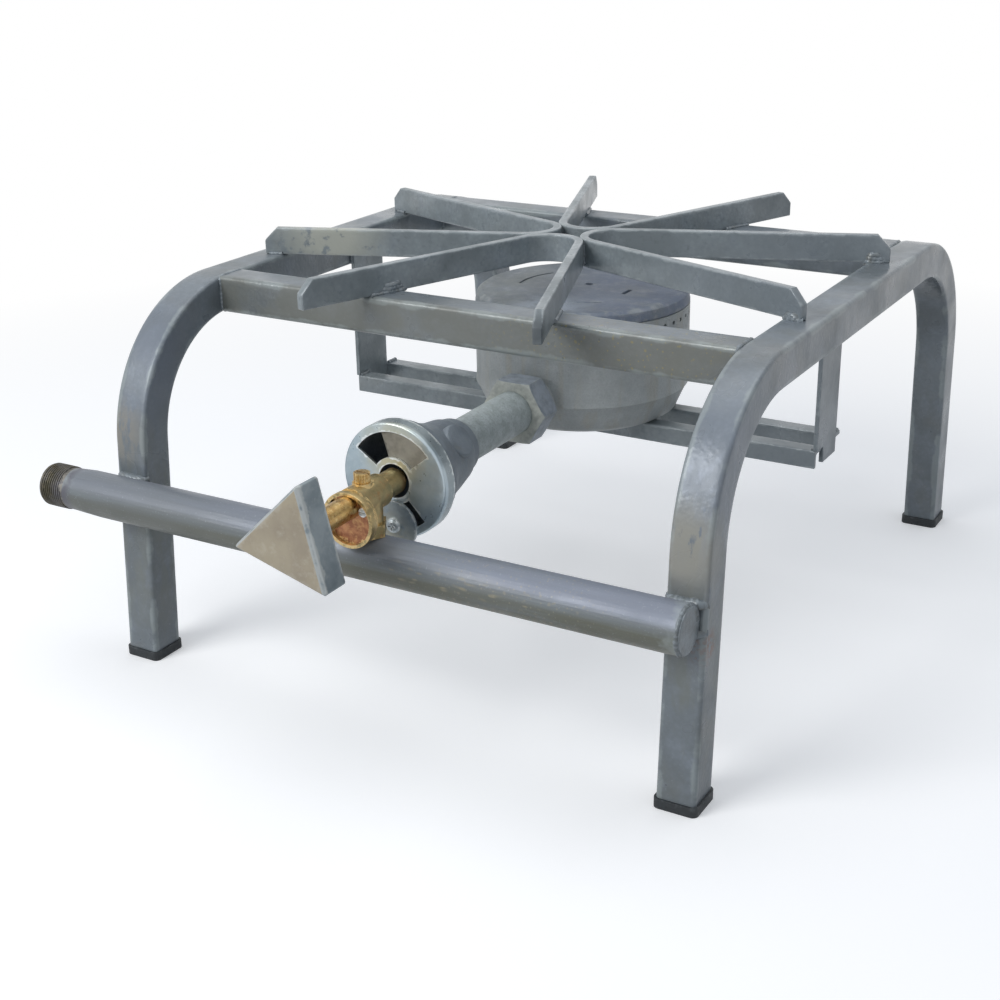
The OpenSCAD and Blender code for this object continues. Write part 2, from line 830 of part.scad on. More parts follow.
left_side_frame();
right_side_frame();
front_cross_tube();
rear_cross_tube();
foot_cap_front_left();
foot_cap_front_right();
foot_cap_rear_left();
foot_cap_rear_right();
grate_bar_front();
grate_bar_right();
grate_bar_rear();
grate_bar_left();
hanger_strap_left();
hanger_strap_right();
hanger_rail_front();
hanger_rail_rear();
burner_body();
burner_cap();
inlet_hex_nut();
mixing_pipe();
venturi_bell();
air_plate();
air_shutter();
clamp_washer();
clamp_screw();
gas_pipe();
pipe_end_plug();
valve_body();
injector();
flow_screw();
valve_plug();
plug_spring();
valve_bonnet();
bonnet_screws();
valve_stem();
knob();
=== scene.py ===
# Single burner gas stove for a market stall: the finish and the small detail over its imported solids.
# Sizes are millimetres from the middle of the frame on the floor, and at() puts them in the row frame.
import math

import bmesh
import bpy
from mathutils import Matrix, Vector
from mathutils.kdtree import KDTree


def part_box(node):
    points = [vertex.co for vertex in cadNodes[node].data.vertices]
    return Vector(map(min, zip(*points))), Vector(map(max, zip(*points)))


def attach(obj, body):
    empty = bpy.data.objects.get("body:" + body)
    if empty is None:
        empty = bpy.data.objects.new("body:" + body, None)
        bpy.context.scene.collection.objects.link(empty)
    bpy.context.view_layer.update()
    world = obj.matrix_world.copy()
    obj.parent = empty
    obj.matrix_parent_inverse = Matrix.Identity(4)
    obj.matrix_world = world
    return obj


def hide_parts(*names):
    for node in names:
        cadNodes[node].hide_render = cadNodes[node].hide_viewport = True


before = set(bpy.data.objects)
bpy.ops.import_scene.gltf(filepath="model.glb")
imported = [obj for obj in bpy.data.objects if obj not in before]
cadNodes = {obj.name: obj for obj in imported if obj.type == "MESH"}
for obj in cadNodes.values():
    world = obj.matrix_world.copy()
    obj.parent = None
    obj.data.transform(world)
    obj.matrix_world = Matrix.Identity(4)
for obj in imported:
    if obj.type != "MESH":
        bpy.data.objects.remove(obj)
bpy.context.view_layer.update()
print("loaded", len(cadNodes), "nodes")

mm = 0.001
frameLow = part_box("left_side_frame")[0]
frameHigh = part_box("right_side_frame")[1]
middle = Vector(((frameLow.x + frameHigh.x)/2, (frameLow.y + frameHigh.y)/2, 0))


def at(x, y, z):
    return middle + Vector((x, y, z))*mm


def addObject(name, data):
    thing = bpy.data.objects.new(name, data)
    bpy.context.scene.collection.objects.link(thing)
    return thing


# The stock and the main places, as in the solids
stock = {
    "tube": 25, "tubeCorner": 2.5, "frameWidth": 428, "frameHeight": 250, "frameDepth": 490,
    "bendRadius": 101, "legLean": 3.55, "footHeight": 6.5, "crossSpan": 287,
    "gasHeight": 160, "pipeRadius": 15, "pipeHeight": 122, "pipeRight": 209,
}
tubeX = stock["frameWidth"]/2 - stock["tube"]/2
tubeIn = stock["frameWidth"]/2 - stock["tube"]
pipeLow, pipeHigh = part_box("gas_pipe")
pipeY = ((pipeLow.y + pipeHigh.y)/2 - middle.y)/mm
plateFront = (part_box("air_shutter")[0].y - middle.y)/mm


# Drawing

# How edges are softened: angles in degrees, lengths in millimetres
soften = {
    "sharp": 32, "level": 0.8, "flat": 0.5, "smooth": 38, "segments": 2, "profile": 0.6,
    "sample": 0.5, "rounds": 4, "sliver": 0.02, "joined": 0.002,
    "tightest": 2.2, "least": 0.6, "mostOfSide": 0.45, "mitre": 0.5,
}


def softOutline(corners, reach, steps=3):
    # Each corner is (x, y, radius). Rounded corners get wear 1, and points at reach from them wear 0.
    cuts = []
    for i, (x, y, radius) in enumerate(corners):
        here = Vector((x, y))
        back = Vector(corners[i - 1][:2]) - here
        ahead = Vector(corners[(i + 1) % len(corners)][:2]) - here
        angle = back.angle(ahead)
        most = soften["mostOfSide"]*min(back.length, ahead.length)
        cut = min(radius/math.tan(angle/2), most) if radius else 0
        cuts.append((here, back.normalized(), ahead.normalized(), ahead.length, cut, angle))
    points = []
    for i, (here, back, ahead, length, cut, angle) in enumerate(cuts):
        if cut:
            centre = here + (back + ahead).normalized()*(cut*math.tan(angle/2)/math.sin(angle/2))
            start, end = here + back*cut - centre, here + ahead*cut - centre
            turn = start.angle(end)
            for s in range(steps + 1):
                first, last = (math.sin(share*turn)/math.sin(turn) for share in (1 - s/steps, s/steps))
                spot = centre + start*first + end*last
                points.append((spot.x, spot.y, 1.0))
        else:
            points.append((here.x, here.y, 0.0))
        nextCut = cuts[(i + 1) % len(cuts)][4]
        free = length - cut - nextCut
        if free > soften["tightest"]*reach:
            for far in (cut + reach, length - nextCut - reach):
                spot = here + ahead*far
                points.append((spot.x, spot.y, 0.0))
        elif free > soften["least"] and (cut or nextCut):
            spot = here + ahead*(cut + free/2)
            points.append((spot.x, spot.y, max(0.0, 1 - free/2/reach)))
    return points


def inset(points, amount, wear):
    # The outline moved inwards, with one wear all round
    moved = []
    for i, (x, y, oldWear) in enumerate(points):
        here = Vector((x, y))
        back = here - Vector(points[i - 1][:2])
        ahead = Vector(points[(i + 1) % len(points)][:2]) - here
        normals = [Vector((-v.y, v.x)).normalized() for v in (back, ahead)]
        mitre = (normals[0] + normals[1]).normalized()
        step = amount/max(soften["mitre"], mitre.dot(normals[1]))
        moved.append((x + mitre.x*step, y + mitre.y*step, wear))
    return moved


def buildPiece(name, rings, closedPath=False, angle=35):
    # Rings of (place, wear) joined in order, closed at both ends or into a loop
    count, total = len(rings[0]), len(rings)
    vertices = [place for ring in rings for place, wear in ring]
    wears = [wear for ring in rings for place, wear in ring]
    faces = []
    for i in range(total if closedPath else total - 1):
        here, ahead = i*count, (i + 1) % total*count
        for j in range(count):
            k = (j + 1) % count
            faces.append((here + j, here + k, ahead + k, ahead + j))
    if not closedPath:
        faces += [tuple(range(start, start + count)) for start in (0, (total - 1)*count)]
    mesh = bpy.data.meshes.new(name)
    mesh.from_pydata(vertices, [], faces)
    mesh.attributes.new("wear", "FLOAT", "POINT").data.foreach_set("value", wears)
    tidy = bmesh.new()
    tidy.from_mesh(mesh)
    bmesh.ops.remove_doubles(tidy, verts=tidy.verts, dist=soften["joined"]*mm)
    bmesh.ops.dissolve_degenerate(tidy, edges=tidy.edges, dist=1e-7)
    bmesh.ops.recalc_face_normals(tidy, faces=tidy.faces)
    tidy.to_mesh(mesh)
    tidy.free()
    mesh.shade_smooth()
    mesh.set_sharp_from_angle(angle=math.radians(angle))
    return addObject(name, mesh)


def softCopy(nodeName, name, edge, reach, longest):
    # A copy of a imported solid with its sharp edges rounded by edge, the wear up to reach from them measured,
    # and no side longer than longest
    mesh = cadNodes[nodeName].data.copy()
    mesh.name = name
    mesh.materials.clear()
    work = bmesh.new()
    work.from_mesh(mesh)
    bmesh.ops.remove_doubles(work, verts=work.verts, dist=soften["joined"]*mm)
    bmesh.ops.dissolve_limit(work, angle_limit=math.radians(soften["level"]), verts=work.verts,
                             edges=work.edges)
    inner = [e for e in work.edges if len(e.link_faces) == 2]
    sharp = [e for e in inner if e.calc_face_angle(0) > math.radians(soften["sharp"])]
    samples = []
    for e in sharp:
        a, b = e.verts[0].co.copy(), e.verts[1].co.copy()
        steps = max(1, int((b - a).length/(soften["sample"]*mm)))
        samples += [a.lerp(b, s/steps) for s in range(steps + 1)]
    if edge and sharp:
        bmesh.ops.bevel(work, geom=sharp, offset=edge*mm, segments=soften["segments"],
                        profile=soften["profile"], affect="EDGES", clamp_overlap=True)
    bmesh.ops.triangulate(work, faces=work.faces)
    inner = [e for e in work.edges if len(e.link_faces) == 2]
    flat = [e for e in inner if e.calc_face_angle(0) < math.radians(soften["flat"])]
    bmesh.ops.beautify_fill(work, faces=work.faces, edges=flat)
    for spare in range(soften["rounds"]):
        long = [e for e in work.edges if e.calc_length() > longest*mm]
        if not long:
            break
        bmesh.ops.subdivide_edges(work, edges=long, cuts=1)
        bmesh.ops.triangulate(work, faces=[f for f in work.faces if len(f.verts) > 3])
    bmesh.ops.dissolve_degenerate(work, edges=work.edges, dist=soften["sliver"]*mm)
    bmesh.ops.recalc_face_normals(work, faces=work.faces)
    work.to_mesh(mesh)
    work.free()
    tree = KDTree(max(1, len(samples)))
    for i, place in enumerate(samples or [Vector((9, 9, 9))]):   # far away where there is no sharp edge
        tree.insert(place, i)
    tree.balance()
    wears = [max(0.0, 1 - tree.find(v.co)[2]/(reach*mm)) for v in mesh.vertices]
    for old in ("custom_normal", "sharp_edge"):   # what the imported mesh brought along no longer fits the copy
        if old in mesh.attributes:
            mesh.attributes.remove(mesh.attributes[old])
    mesh.attributes.new("wear", "FLOAT", "POINT").data.foreach_set("value", wears)
    mesh.shade_smooth()
    mesh.set_sharp_from_angle(angle=math.radians(soften["smooth"]))
    return addObject(name, mesh)


def settle(piece, material, body, slot, *nodes):
    piece.data.materials.clear()
    piece.data.materials.append(material)
    if nodes:
        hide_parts(*nodes)
    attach(piece, body)
    return piece


def dress(node, name, softness, material, body, slot):
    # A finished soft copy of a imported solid: softness is its (edge, reach, longest), as softCopy takes them
    return settle(softCopy(node, name, *softness), material, body, slot, node)


def dressFaces(piece, material, test):
    # A second finish for the faces whose centre (millimetres from the middle of the frame) and normal pass
    piece.data.materials.append(material)
    for face in piece.data.polygons:
        if test((face.center - middle)/mm, face.normal):
            face.material_index = len(piece.data.materials) - 1


# Materials

def linear(hexColour):
    parts = [int(hexColour[i:i + 2], 16)/255 for i in (1, 3, 5)]
    return tuple(p/12.92 if p <= 0.04045 else ((p + 0.055)/1.055)**2.4 for p in parts) + (1.0,)


def tint(colour, size, spread, share=1.0, **more):
    # One mark over a finish: a grain of this size (millimetres) brings the colour in, from none at the first
    # value of spread to share at the second
    return {"colour": colour, "size": size, "spread": spread, "share": share, **more}


def addNode(tree, kind, settings=None, links=None):
    # A node with these values and links. What comes back is its outputs.
    node = tree.nodes.new(kind)
    for name, value in (settings or {}).items():
        if isinstance(name, int) or name in node.inputs:
            node.inputs[name].default_value = value
        else:
            setattr(node, name, value)
    for name, source in (links or {}).items():
        tree.links.new(source, node.inputs[name])
    return node.outputs


patterns = {"spread": (0.35, 0.65), "detail": 3, "roughness": 0.6, "core": 0.35, "wornFrom": 1.0, "worn": 1.4}


def markPattern(tree, mark, peak):
    # How strongly a mark shows, 0 to peak: a grain or hammered cells of mark["size"] millimetres,
    # kept near one place or fading in from one place to another where the mark says so
    place = addNode(tree, "ShaderNodeTexCoord")["Object"]
    turned = addNode(tree, "ShaderNodeMapping", {"Scale": mark.get("stretch", (1, 1, 1))}, {"Vector": place})
    if mark.get("cells"):
        pattern = addNode(tree, "ShaderNodeTexVoronoi",
                          {"feature": "SMOOTH_F1", "Scale": 1/(mark["size"]*mm)},
                          {"Vector": turned[0]})["Distance"]
    else:
        pattern = addNode(tree, "ShaderNodeTexNoise",
                          {"Scale": 1/(mark["size"]*mm), "Detail": mark.get("detail", patterns["detail"]),
                           "Roughness": patterns["roughness"]},
                          {"Vector": turned[0]})["Fac"]
    low, high = mark.get("spread", patterns["spread"])
    level = addNode(tree, "ShaderNodeMapRange", {1: low, 2: high, 4: peak}, {"Value": pattern})[0]
    if "near" in mark:
        *spot, radius = mark["near"]
        far = addNode(tree, "ShaderNodeVectorMath", {"operation": "DISTANCE", 1: at(*spot)}, {0: place})
        inside = addNode(tree, "ShaderNodeMapRange", {1: radius*mm, 2: patterns["core"]*radius*mm},
                         {"Value": far["Value"]})[0]
        level = addNode(tree, "ShaderNodeMath", {"operation": "MULTIPLY"}, {0: level, 1: inside})[0]
    if "fade" in mark:
        start, end = (at(*spot) for spot in mark["fade"])
        run = (end - start)/(end - start).length_squared
        offset = addNode(tree, "ShaderNodeVectorMath", {"operation": "SUBTRACT", 1: start}, {0: place})
        share = addNode(tree, "ShaderNodeVectorMath", {"operation": "DOT_PRODUCT", 1: run}, {0: offset[0]})
        clipped = addNode(tree, "ShaderNodeClamp", None, {"Value": share["Value"]})[0]
        level = addNode(tree, "ShaderNodeMath", {"operation": "MULTIPLY"}, {0: level, 1: clipped})[0]
    return level


def makeFinish(name, look, **changes):
    # One finish: its base colour, the marks over it, the wear along its edges (colour, share, size, reach),
    # its roughness (smoothest, roughest, size) and its relief (size, rise, settings if it isn't plain noise).
    # A finish close to another one takes that one's look with changes.
    look = {**look, **changes}
    material = bpy.data.materials.new(name)
    material.use_nodes = True
    tree = material.node_tree
    tree.nodes.clear()
    under = {}
    for mark in look["marks"]:
        colour = addNode(tree, "ShaderNodeMix",
                         {"data_type": "RGBA", 6: linear(look["base"]), 7: linear(mark["colour"])},
                         {0: markPattern(tree, mark, mark["share"]), **under})[2]
        under = {6: colour}
    rubbed, share, size, reach = look["wear"]
    nearEdge = addNode(tree, "ShaderNodeAttribute", {"attribute_name": "wear"})["Fac"]
    broken = markPattern(tree, {"size": size, "detail": 4}, 1.0)
    level = addNode(tree, "ShaderNodeMath", {"operation": "MULTIPLY_ADD", 1: reach}, {0: nearEdge, 2: broken})
    worn = addNode(tree, "ShaderNodeMapRange", {1: patterns["wornFrom"], 2: patterns["worn"], 4: share},
                   {"Value": level[0]})
    colour = addNode(tree, "ShaderNodeMix", {"data_type": "RGBA", 7: linear(rubbed)},
                     {0: worn[0], 6: colour})[2]
    smooth, coarse, size = look["rough"]
    cloud = markPattern(tree, {"size": size}, 1.0)
    rough = addNode(tree, "ShaderNodeMapRange", {3: smooth, 4: coarse}, {"Value": cloud})
    height = None
    for size, rise, *settings in look["relief"]:
        rise = markPattern(tree, {"size": size, **dict(*settings)}, rise)
        if height:
            rise = addNode(tree, "ShaderNodeMath", {"operation": "ADD"}, {0: height, 1: rise})[0]
        height = rise
    bump = addNode(tree, "ShaderNodeBump", {"Strength": 1.0, "Distance": mm}, {"Height": height})
    shader = addNode(tree, "ShaderNodeBsdfPrincipled", look["shader"],
                     {"Base Color": colour, "Roughness": rough[0], "Normal": bump[0]})
    addNode(tree, "ShaderNodeOutputMaterial", None, {"Surface": shader[0]})
    return material


# Hammer-finish silver-grey enamel, sprayed on welded mild steel: shallow dimples with aluminium flake in
# them. The eye gets a soft blue-grey sheen with clouds and runs in it, and paler edges: rubbed paint together
# with a painted highlight along the tube corners.
hammerPaint = {
    "base": "#7c848b",
    "marks": [
        tint("#6d7478", 60, (0.4, 0.65)),
        tint("#8d96a1", 16, (0.48, 0.75), 0.5),
        tint("#808078", 34, (0.5, 0.75), 0.4, detail=5),
        tint("#646b6e", 2.6, (0.15, 0.6), 0.25, cells=True),
        tint("#a9b1b6", 1.5, (0.64, 0.74), 0.3),
    ],
    # pale edges: rubbed paint and a painted highlight along the corners
    "wear": ("#a6afae", 0.42, 28, 0.78),
    "rough": (0.24, 0.44, 40),
    "relief": [(2.6, -0.05, {"cells": True, "spread": (0.1, 0.6)}), (10, 0.07)],
    "shader": {"Metallic": 0.12, "IOR": 1.5},
}

# Places in the photo where the paint is scuffed, run or stained, and painted sky reflections and highlight
# streaks on the bends, for the frame's own finish
frameStains = [
    # painted sky reflection: these two marks give both bends a bluer tone
    tint("#727b89", 30, (0.2, 0.5), 0.6, near=(-202, -236, 215, 70)),
    tint("#79828f", 30, (0.2, 0.5), 0.5, near=(202, -236, 210, 80)),
    tint("#757972", 12, (0.42, 0.6), 0.55, stretch=(1, 1, 0.3), near=(202, -246, 90, 95)),
    tint("#757972", 12, (0.42, 0.6), 0.5, stretch=(1, 1, 0.3), near=(-202, -246, 90, 95)),
    tint("#8e8b82", 7, (0.42, 0.5), 0.8, stretch=(1, 1, 0.25), near=(-210, -247, 162, 26), detail=4),
    tint("#9d9b91", 9, (0.36, 0.42), 0.85, stretch=(1, 1, 0.4), near=(197, -247, 160, 34), detail=4),
    # painted highlight: pale blue vertical streaks down the right bend
    tint("#949dab", 5, (0.5, 0.7), 0.45, stretch=(1, 1, 0.1), near=(207, -240, 195, 50)),
    tint("#7d5a4a", 3, (0.42, 0.56), 0.8, near=(214, -243, 104, 13)),
]
framePaint = makeFinish("hammerEnamelOnSquareTube", hammerPaint, marks=hammerPaint["marks"] + frameStains)

# The enamel on the cross tubes, next to the burner: a painted shade tones the front face olive-grey, and a few
# rust-coloured specks lie on it
crossPaint = makeFinish(
    "stainedHammerEnamelOnCrossTube", hammerPaint,
    marks=hammerPaint["marks"] + [
        # painted shade: the front face toned olive-grey
        tint("#77776c", 40, (0.2, 0.5), 0.6, fade=((0, -150, 0), (0, -156, 0))),
        tint("#9a905f", 3, (0.22, 0.12), 0.6, cells=True, near=(110, -156, 237, 100)),
    ],
)

# The same enamel on hot-rolled flat bar, whose mill scale shows through as a rougher, duller skin
barPaint = makeFinish(
    "hammerEnamelOnFlatBar", hammerPaint, base="#99a2a6",
    marks=hammerPaint["marks"][1:] + [
        tint("#7b8386", 40, (0.4, 0.65)),
        tint("#5f6567", 4, (0.55, 0.8), 0.5),
        # darker towards the right, from x 60 to 130 mm
        tint("#7c848a", 40, (0.0, 0.3), 0.6, fade=((60, 0, 0), (130, 0, 0))),
        tint("#bcbdb0", 9, (0.36, 0.44), 0.75, detail=4, near=(-158, -64, 266, 46)),
        # painted shade: the front bar's end face darkened
        tint("#50575b", 9, (0.0, 0.12), 0.9, near=(85, -206, 259, 17)),
    ],
    wear=("#adb4b6", 0.5, 12, 0.75),
)

# Enamel over arc weld: thick in the hollows and paler on the ripples' crests
weldPaint = makeFinish(
    "enamelOverWeldBead", hammerPaint, base="#7d868c",
    marks=[tint("#6a6f70", 6, (0.4, 0.7)),
           tint("#7b776a", 12, (0.6, 0.75), 0.5)],
    wear=("#98a1a7", 0.5, 8, 0.8),
    relief=[(2.4, 0.12)],
)

# Seamed steel pipe under the same enamel: brushed on, so pale and dark streaks run along it, and its
# threaded end is bare and browned. A painted lilac sky reflection runs along its top and a painted olive shade
# along its underside
pipeEnd = {"threadEnd": -238, "left": -258, "root": 13.9, "slack": 0.2, "softness": (0.5, 2, 12),
           "plug": (0.6, 2, 6)}
pipeFront = pipeY - 14
pipePaint = makeFinish(
    "hammerEnamelOnSteelPipe", hammerPaint, base="#767c7e", rough=(0.36, 0.54, 30),
    marks=[
        tint("#6d7375", 22, (0.4, 0.65), 0.8, stretch=(0.18, 1, 1)),
        tint("#8f999f", 5, (0.5, 0.72), 0.5, stretch=(0.06, 1, 1)),
        tint("#7c7b72", 9, (0.52, 0.74), 0.5, stretch=(0.1, 1, 1)),
        # painted sky reflection: lilac along the pipe's top
        tint("#848b9b", 30, (0.2, 0.5), 0.75, stretch=(0.1, 1, 1), fade=((0, 0, 126), (0, 0, 130))),
        # painted shade: olive along the pipe's underside
        tint("#66675a", 14, (0.2, 0.4), 0.9, stretch=(0.1, 1, 1), fade=((0, 0, 125), (0, 0, 121))),
        *(tint("#98927c", size, (0.3, 0.12), 0.75, stretch=(0.3, 1, 1), cells=True,
               near=(x, pipeFront, 123, 9))
          for x, size in ((30, 3), (44, 2.4), (60, 3), (77, 2.6), (94, 3), (120, 2.4))),
        tint("#a39c86", 3, (0.24, 0.12), 0.35, cells=True, near=(110, pipeFront, 121, 80)),
        tint("#676c6d", 30, (0.1, 0.4), 0.5, stretch=(0.1, 1, 1), fade=((-60, 0, 0), (-150, 0, 0))),
        tint("#5b5b64", 9, (0.1, 0.3), 0.85, fade=((-229, 0, 0), (-235, 0, 0))),
        tint("#a9b1b6", 1.5, (0.62, 0.72), 0.3),
    ],
    relief=[(7, 0.1, {"stretch": (0.2, 1, 1)}), (1.2, 0.03)],
)

# The same steel with its enamel off, cut to a thread and browned by handling: the eye gets a dull brown-grey
# with bluer steel towards the paint and bright crests
bareThread = makeFinish("bareBrownedSteelThread", {
    "base": "#5f5d59",
    "marks": [
        tint("#4d4a3c", 9, (0.4, 0.6)),
        tint("#6c6c76", 12, (0.4, 0.6), 0.8, fade=((-250, 0, 0), (-241, 0, 0))),
        tint("#7a705c", 3, (0.5, 0.7), 0.5),
    ],
    "wear": ("#8d8b84", 0.6, 3, 0.8),
    "rough": (0.42, 0.62, 6),
    "relief": [(1.1, 0.04)],
    "shader": {"Metallic": 0.6},
})

# Sand-cast iron under a thin coat of aluminium paint: a fine grainy skin with warm streaks where the paint
# ran thin. The eye gets a chalky warm grey, smoother on the cap's level top, which carries a painted blue sky
# reflection.
castPaint = {
    "base": "#bdc2c1",
    "marks": [
        tint("#a6abab", 36, (0.4, 0.62), detail=4),
        tint("#b2ac9b", 9, (0.5, 0.72), 0.6, stretch=(1, 1, 0.07)),
        tint("#b7bab8", 12, (0.52, 0.75), 0.5),
        tint("#8c9191", 1.3, (0.4, 0.75), 0.35),
    ],
    "wear": ("#a9adab", 0.4, 10, 0.6),
    "rough": (0.45, 0.62, 30),
    "relief": [(1.3, 0.12), (7, 0.25)],
    "shader": {"Metallic": 0.12, "IOR": 1.5},
}
burnerPaint = makeFinish("castIronUnderAluminiumPaint", castPaint)

# The cap is the same iron, turned on top: a level grey disc with a painted blue sky reflection across it and a
# pale patch near its front
capPaint = makeFinish(
    "turnedIronUnderAluminiumPaint", castPaint, base="#7d8384",
    # painted sky reflection: a blue cloud across the cap's top
    marks=[tint("#75819a", 30, (0.2, 0.45), 0.7, fade=((-30, -10, 0), (25, 15, 0))),
           tint("#747c86", 24, (0.4, 0.65), 0.6),
           tint("#9b9fa9", 9, (0.5, 0.72), 0.5),
           tint("#aab3bf", 10, (0.34, 0.5), 0.75, near=(5, -40, 218, 34)),
           tint("#70757c", 1.3, (0.45, 0.75), 0.3)],
    relief=[(1.3, 0.06), (8, 0.12)],
)

# Thick aluminium paint on an unmachined pipe: the eye gets a pale, pitted and lumpy skin
roughPipePaint = makeFinish(
    "roughPipeUnderAluminiumPaint", castPaint, base="#b6bfbf",
    marks=[tint("#a0a9a8", 9, (0.42, 0.62), detail=4),
           tint("#a3aba8", 4, (0.55, 0.72), 0.6),
           tint("#858c8a", 1.5, (0.45, 0.7), 0.5)],
    relief=[(1.6, 0.16), (6, 0.25)],
)

# The nut's turned flats take the paint smoothly, so the eye gets cool flat tones. Its faces turned towards the
# front, the chamfer among them, get a paler copy of the finish as a painted highlight
nutPaint = makeFinish(
    "turnedNutUnderAluminiumPaint", castPaint, base="#a3abb4",
    marks=[tint("#878f97", 9, (0.4, 0.62)),
           tint("#a0a5a6", 5, (0.52, 0.72), 0.5)],
    relief=[(1.3, 0.08)],
)
nutChamfer = makeFinish(
    "paleTurnedChamfer", castPaint, base="#bfc2ba",
    marks=[tint("#a3a6a0", 6, (0.42, 0.66))],
    relief=[(1.3, 0.06)],
)

# Cast iron dipped in dark grey paint: smooth and dull, a little lighter where hands and the shutter rub
bellPaint = makeFinish(
    "darkDippedCasting", castPaint, base="#858e95",
    marks=[tint("#727a82", 26, (0.4, 0.62)),
           tint("#899097", 11, (0.52, 0.74), 0.5),
           tint("#7b7b75", 7, (0.56, 0.74), 0.4)],
    wear=("#8d949a", 0.5, 8, 0.65),
    relief=[(1.4, 0.07), (9, 0.2)],
)

shutterLow, shutterHigh = ((spot - middle)/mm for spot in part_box("air_shutter"))
shutterX, shutterZ = (shutterLow.x + shutterHigh.x)/2, (shutterLow.z + shutterHigh.z)/2

# Cold-rolled steel sheet, pressed and zinc plated with a thin yellow passivation: a cool satin metal with
# creamy clouds above the windows, and bright cut edges
zincSheet = {
    "base": "#b5c2c9",
    "marks": [
        tint("#a0afb7", 20, (0.4, 0.62)),
        tint("#b5ae8c", 26, (0.3, 0.5), 0.85, near=(shutterX - 1, plateFront, shutterZ + 18, 26),
             fade=((0, plateFront + 4, 0), (0, plateFront + 3, 0))),
        tint("#b3b19a", 14, (0.5, 0.68), 0.15),
        tint("#8a9396", 30, (0.2, 0.4), 0.7, fade=((0, plateFront + 3.2, 0), (0, plateFront + 4, 0))),
        tint("#c9cfcf", 2.2, (0.55, 0.75), 0.3),
    ],
    "wear": ("#e3e8e8", 0.8, 5, 1.1),
    "rough": (0.26, 0.4, 9),
    "relief": [(2.2, 0.012), (14, 0.05)],
    "shader": {"Metallic": 0.7},
}
shutterZinc = makeFinish("zincPlatedPressedSheet", zincSheet)

# The plate behind the windows has lost its shine to heat and dust, so the eye reads it as a brownish depth
plateZinc = makeFinish(
    "dulledZincPlate", zincSheet, base="#8f8b80",
    marks=[tint("#7d796e", 12, (0.4, 0.62)),
           tint("#9a9788", 5, (0.52, 0.72), 0.5)],
    wear=("#55544e", 0.8, 5, 1.2),
    rough=(0.5, 0.65, 8), shader={"Metallic": 0.5},
)

# The washer's blue zinc is duller than the shutter's, with a painted cream reflection low on its left
washerZinc = makeFinish(
    "blueZincWasher", zincSheet, base="#a9b6be",
    marks=[tint("#8b99a3", 9, (0.4, 0.6)),
           # painted reflection: cream, low on the washer's left
           tint("#bdbcae", 10, (0.35, 0.5), 0.9, fade=((12, 0, shutterZ - 20), (-4, 0, shutterZ - 34)))],
    wear=("#d5dadb", 0.8, 4, 1.2),
    rough=(0.4, 0.52, 9), shader={"Metallic": 0.45},
)

# Bright zinc on small screws and the spring: the eye gets pale heads with near-white rims round their slots
screwZinc = makeFinish(
    "brightZincScrew", zincSheet, base="#c2cacd",
    marks=[tint("#a3adb1", 3, (0.4, 0.62))],
    wear=("#eef0f0", 0.8, 2, 1.2),
    rough=(0.4, 0.5, 3), shader={"Metallic": 0.6},
)

# Hot-pressed brass, handled and tarnished: an olive film with reddish stains, and gold at the edges
brass = {
    "base": "#a8946a",
    "marks": [
        tint("#8c8260", 10, (0.35, 0.6), 0.9),
        tint("#a2724c", 6, (0.56, 0.72), 0.5),
        tint("#d3b98a", 0.9, (0.55, 0.75), 0.3),
    ],
    "wear": ("#dcc08a", 0.7, 3, 1.0),
    "rough": (0.34, 0.52, 6),
    "relief": [(0.9, 0.025), (5, 0.05)],
    "shader": {"Metallic": 0.9},
}
oliveBrass = makeFinish("tarnishedPressedBrass", brass)

# Freshly turned brass: the stem, nozzle and flow screw give the eye small golden highlights
goldBrass = makeFinish(
    "turnedBrightBrass", brass, base="#bb9d66",
    marks=[tint("#a58250", 5, (0.4, 0.62), 0.8),
           tint("#e3cf9c", 2, (0.55, 0.7), 0.5)],
    rough=(0.24, 0.38, 4),
)

# The pickled recess of the casting, copper-rich and matt: a reddish ground behind the bonnet's screws
redBrass = makeFinish(
    "reddishBrassRecess", brass, base="#a87a58",
    marks=[tint("#875a44", 4, (0.4, 0.6)),
           tint("#c39c6c", 3, (0.55, 0.7), 0.6)],
)

# Die-cast zinc, tumbled to a satin skin: broad soft highlights, faint dents, and pale edges that are partly
# rubbed and partly a painted highlight along the rounded edges
dieCast = {
    "base": "#8d979c",
    "marks": [tint("#79848a", 18, (0.4, 0.62)),
              tint("#a2a9aa", 6, (0.52, 0.74), 0.4)],
    "wear": ("#c3c6c4", 0.6, 14, 1.15),
    "rough": (0.4, 0.52, 12),
    "relief": [(1.2, 0.02), (7, 0.08)],
    "shader": {"Metallic": 0.6},
}
knobSide = makeFinish("satinDieCastSide", dieCast)

# The knob's polished flat face: the eye gets a warm beige with soft clouds, set off by the cooler rim
knobFace = makeFinish(
    "satinDieCastFace", dieCast, base="#a79d89",
    marks=[tint("#9a907f", 20, (0.4, 0.62)),
           tint("#beb7a7", 5, (0.52, 0.74), 0.4)],
    # pale rim of the face: partly rubbed, partly a painted highlight along its rounded edge
    wear=("#bbb6aa", 0.4, 14, 0.7),
    shader={"Metallic": 0.35},
)

# Injection-moulded black polyethylene, matt and dusty: dark with a pale bloom
footPlastic = makeFinish("mouldedBlackPolyethylene", {
    "base": "#24282b",
    "marks": [tint("#393e41", 10, (0.4, 0.7), 0.8, detail=4),
              tint("#15181a", 2, (0.5, 0.7), 0.5)],
    "wear": ("#565b5d", 0.5, 6, 0.6),
    "rough": (0.5, 0.75, 10),
    "relief": [(1.5, 0.05)],
    "shader": {"IOR": 1.5},
})
print("finishes made")


# Frame

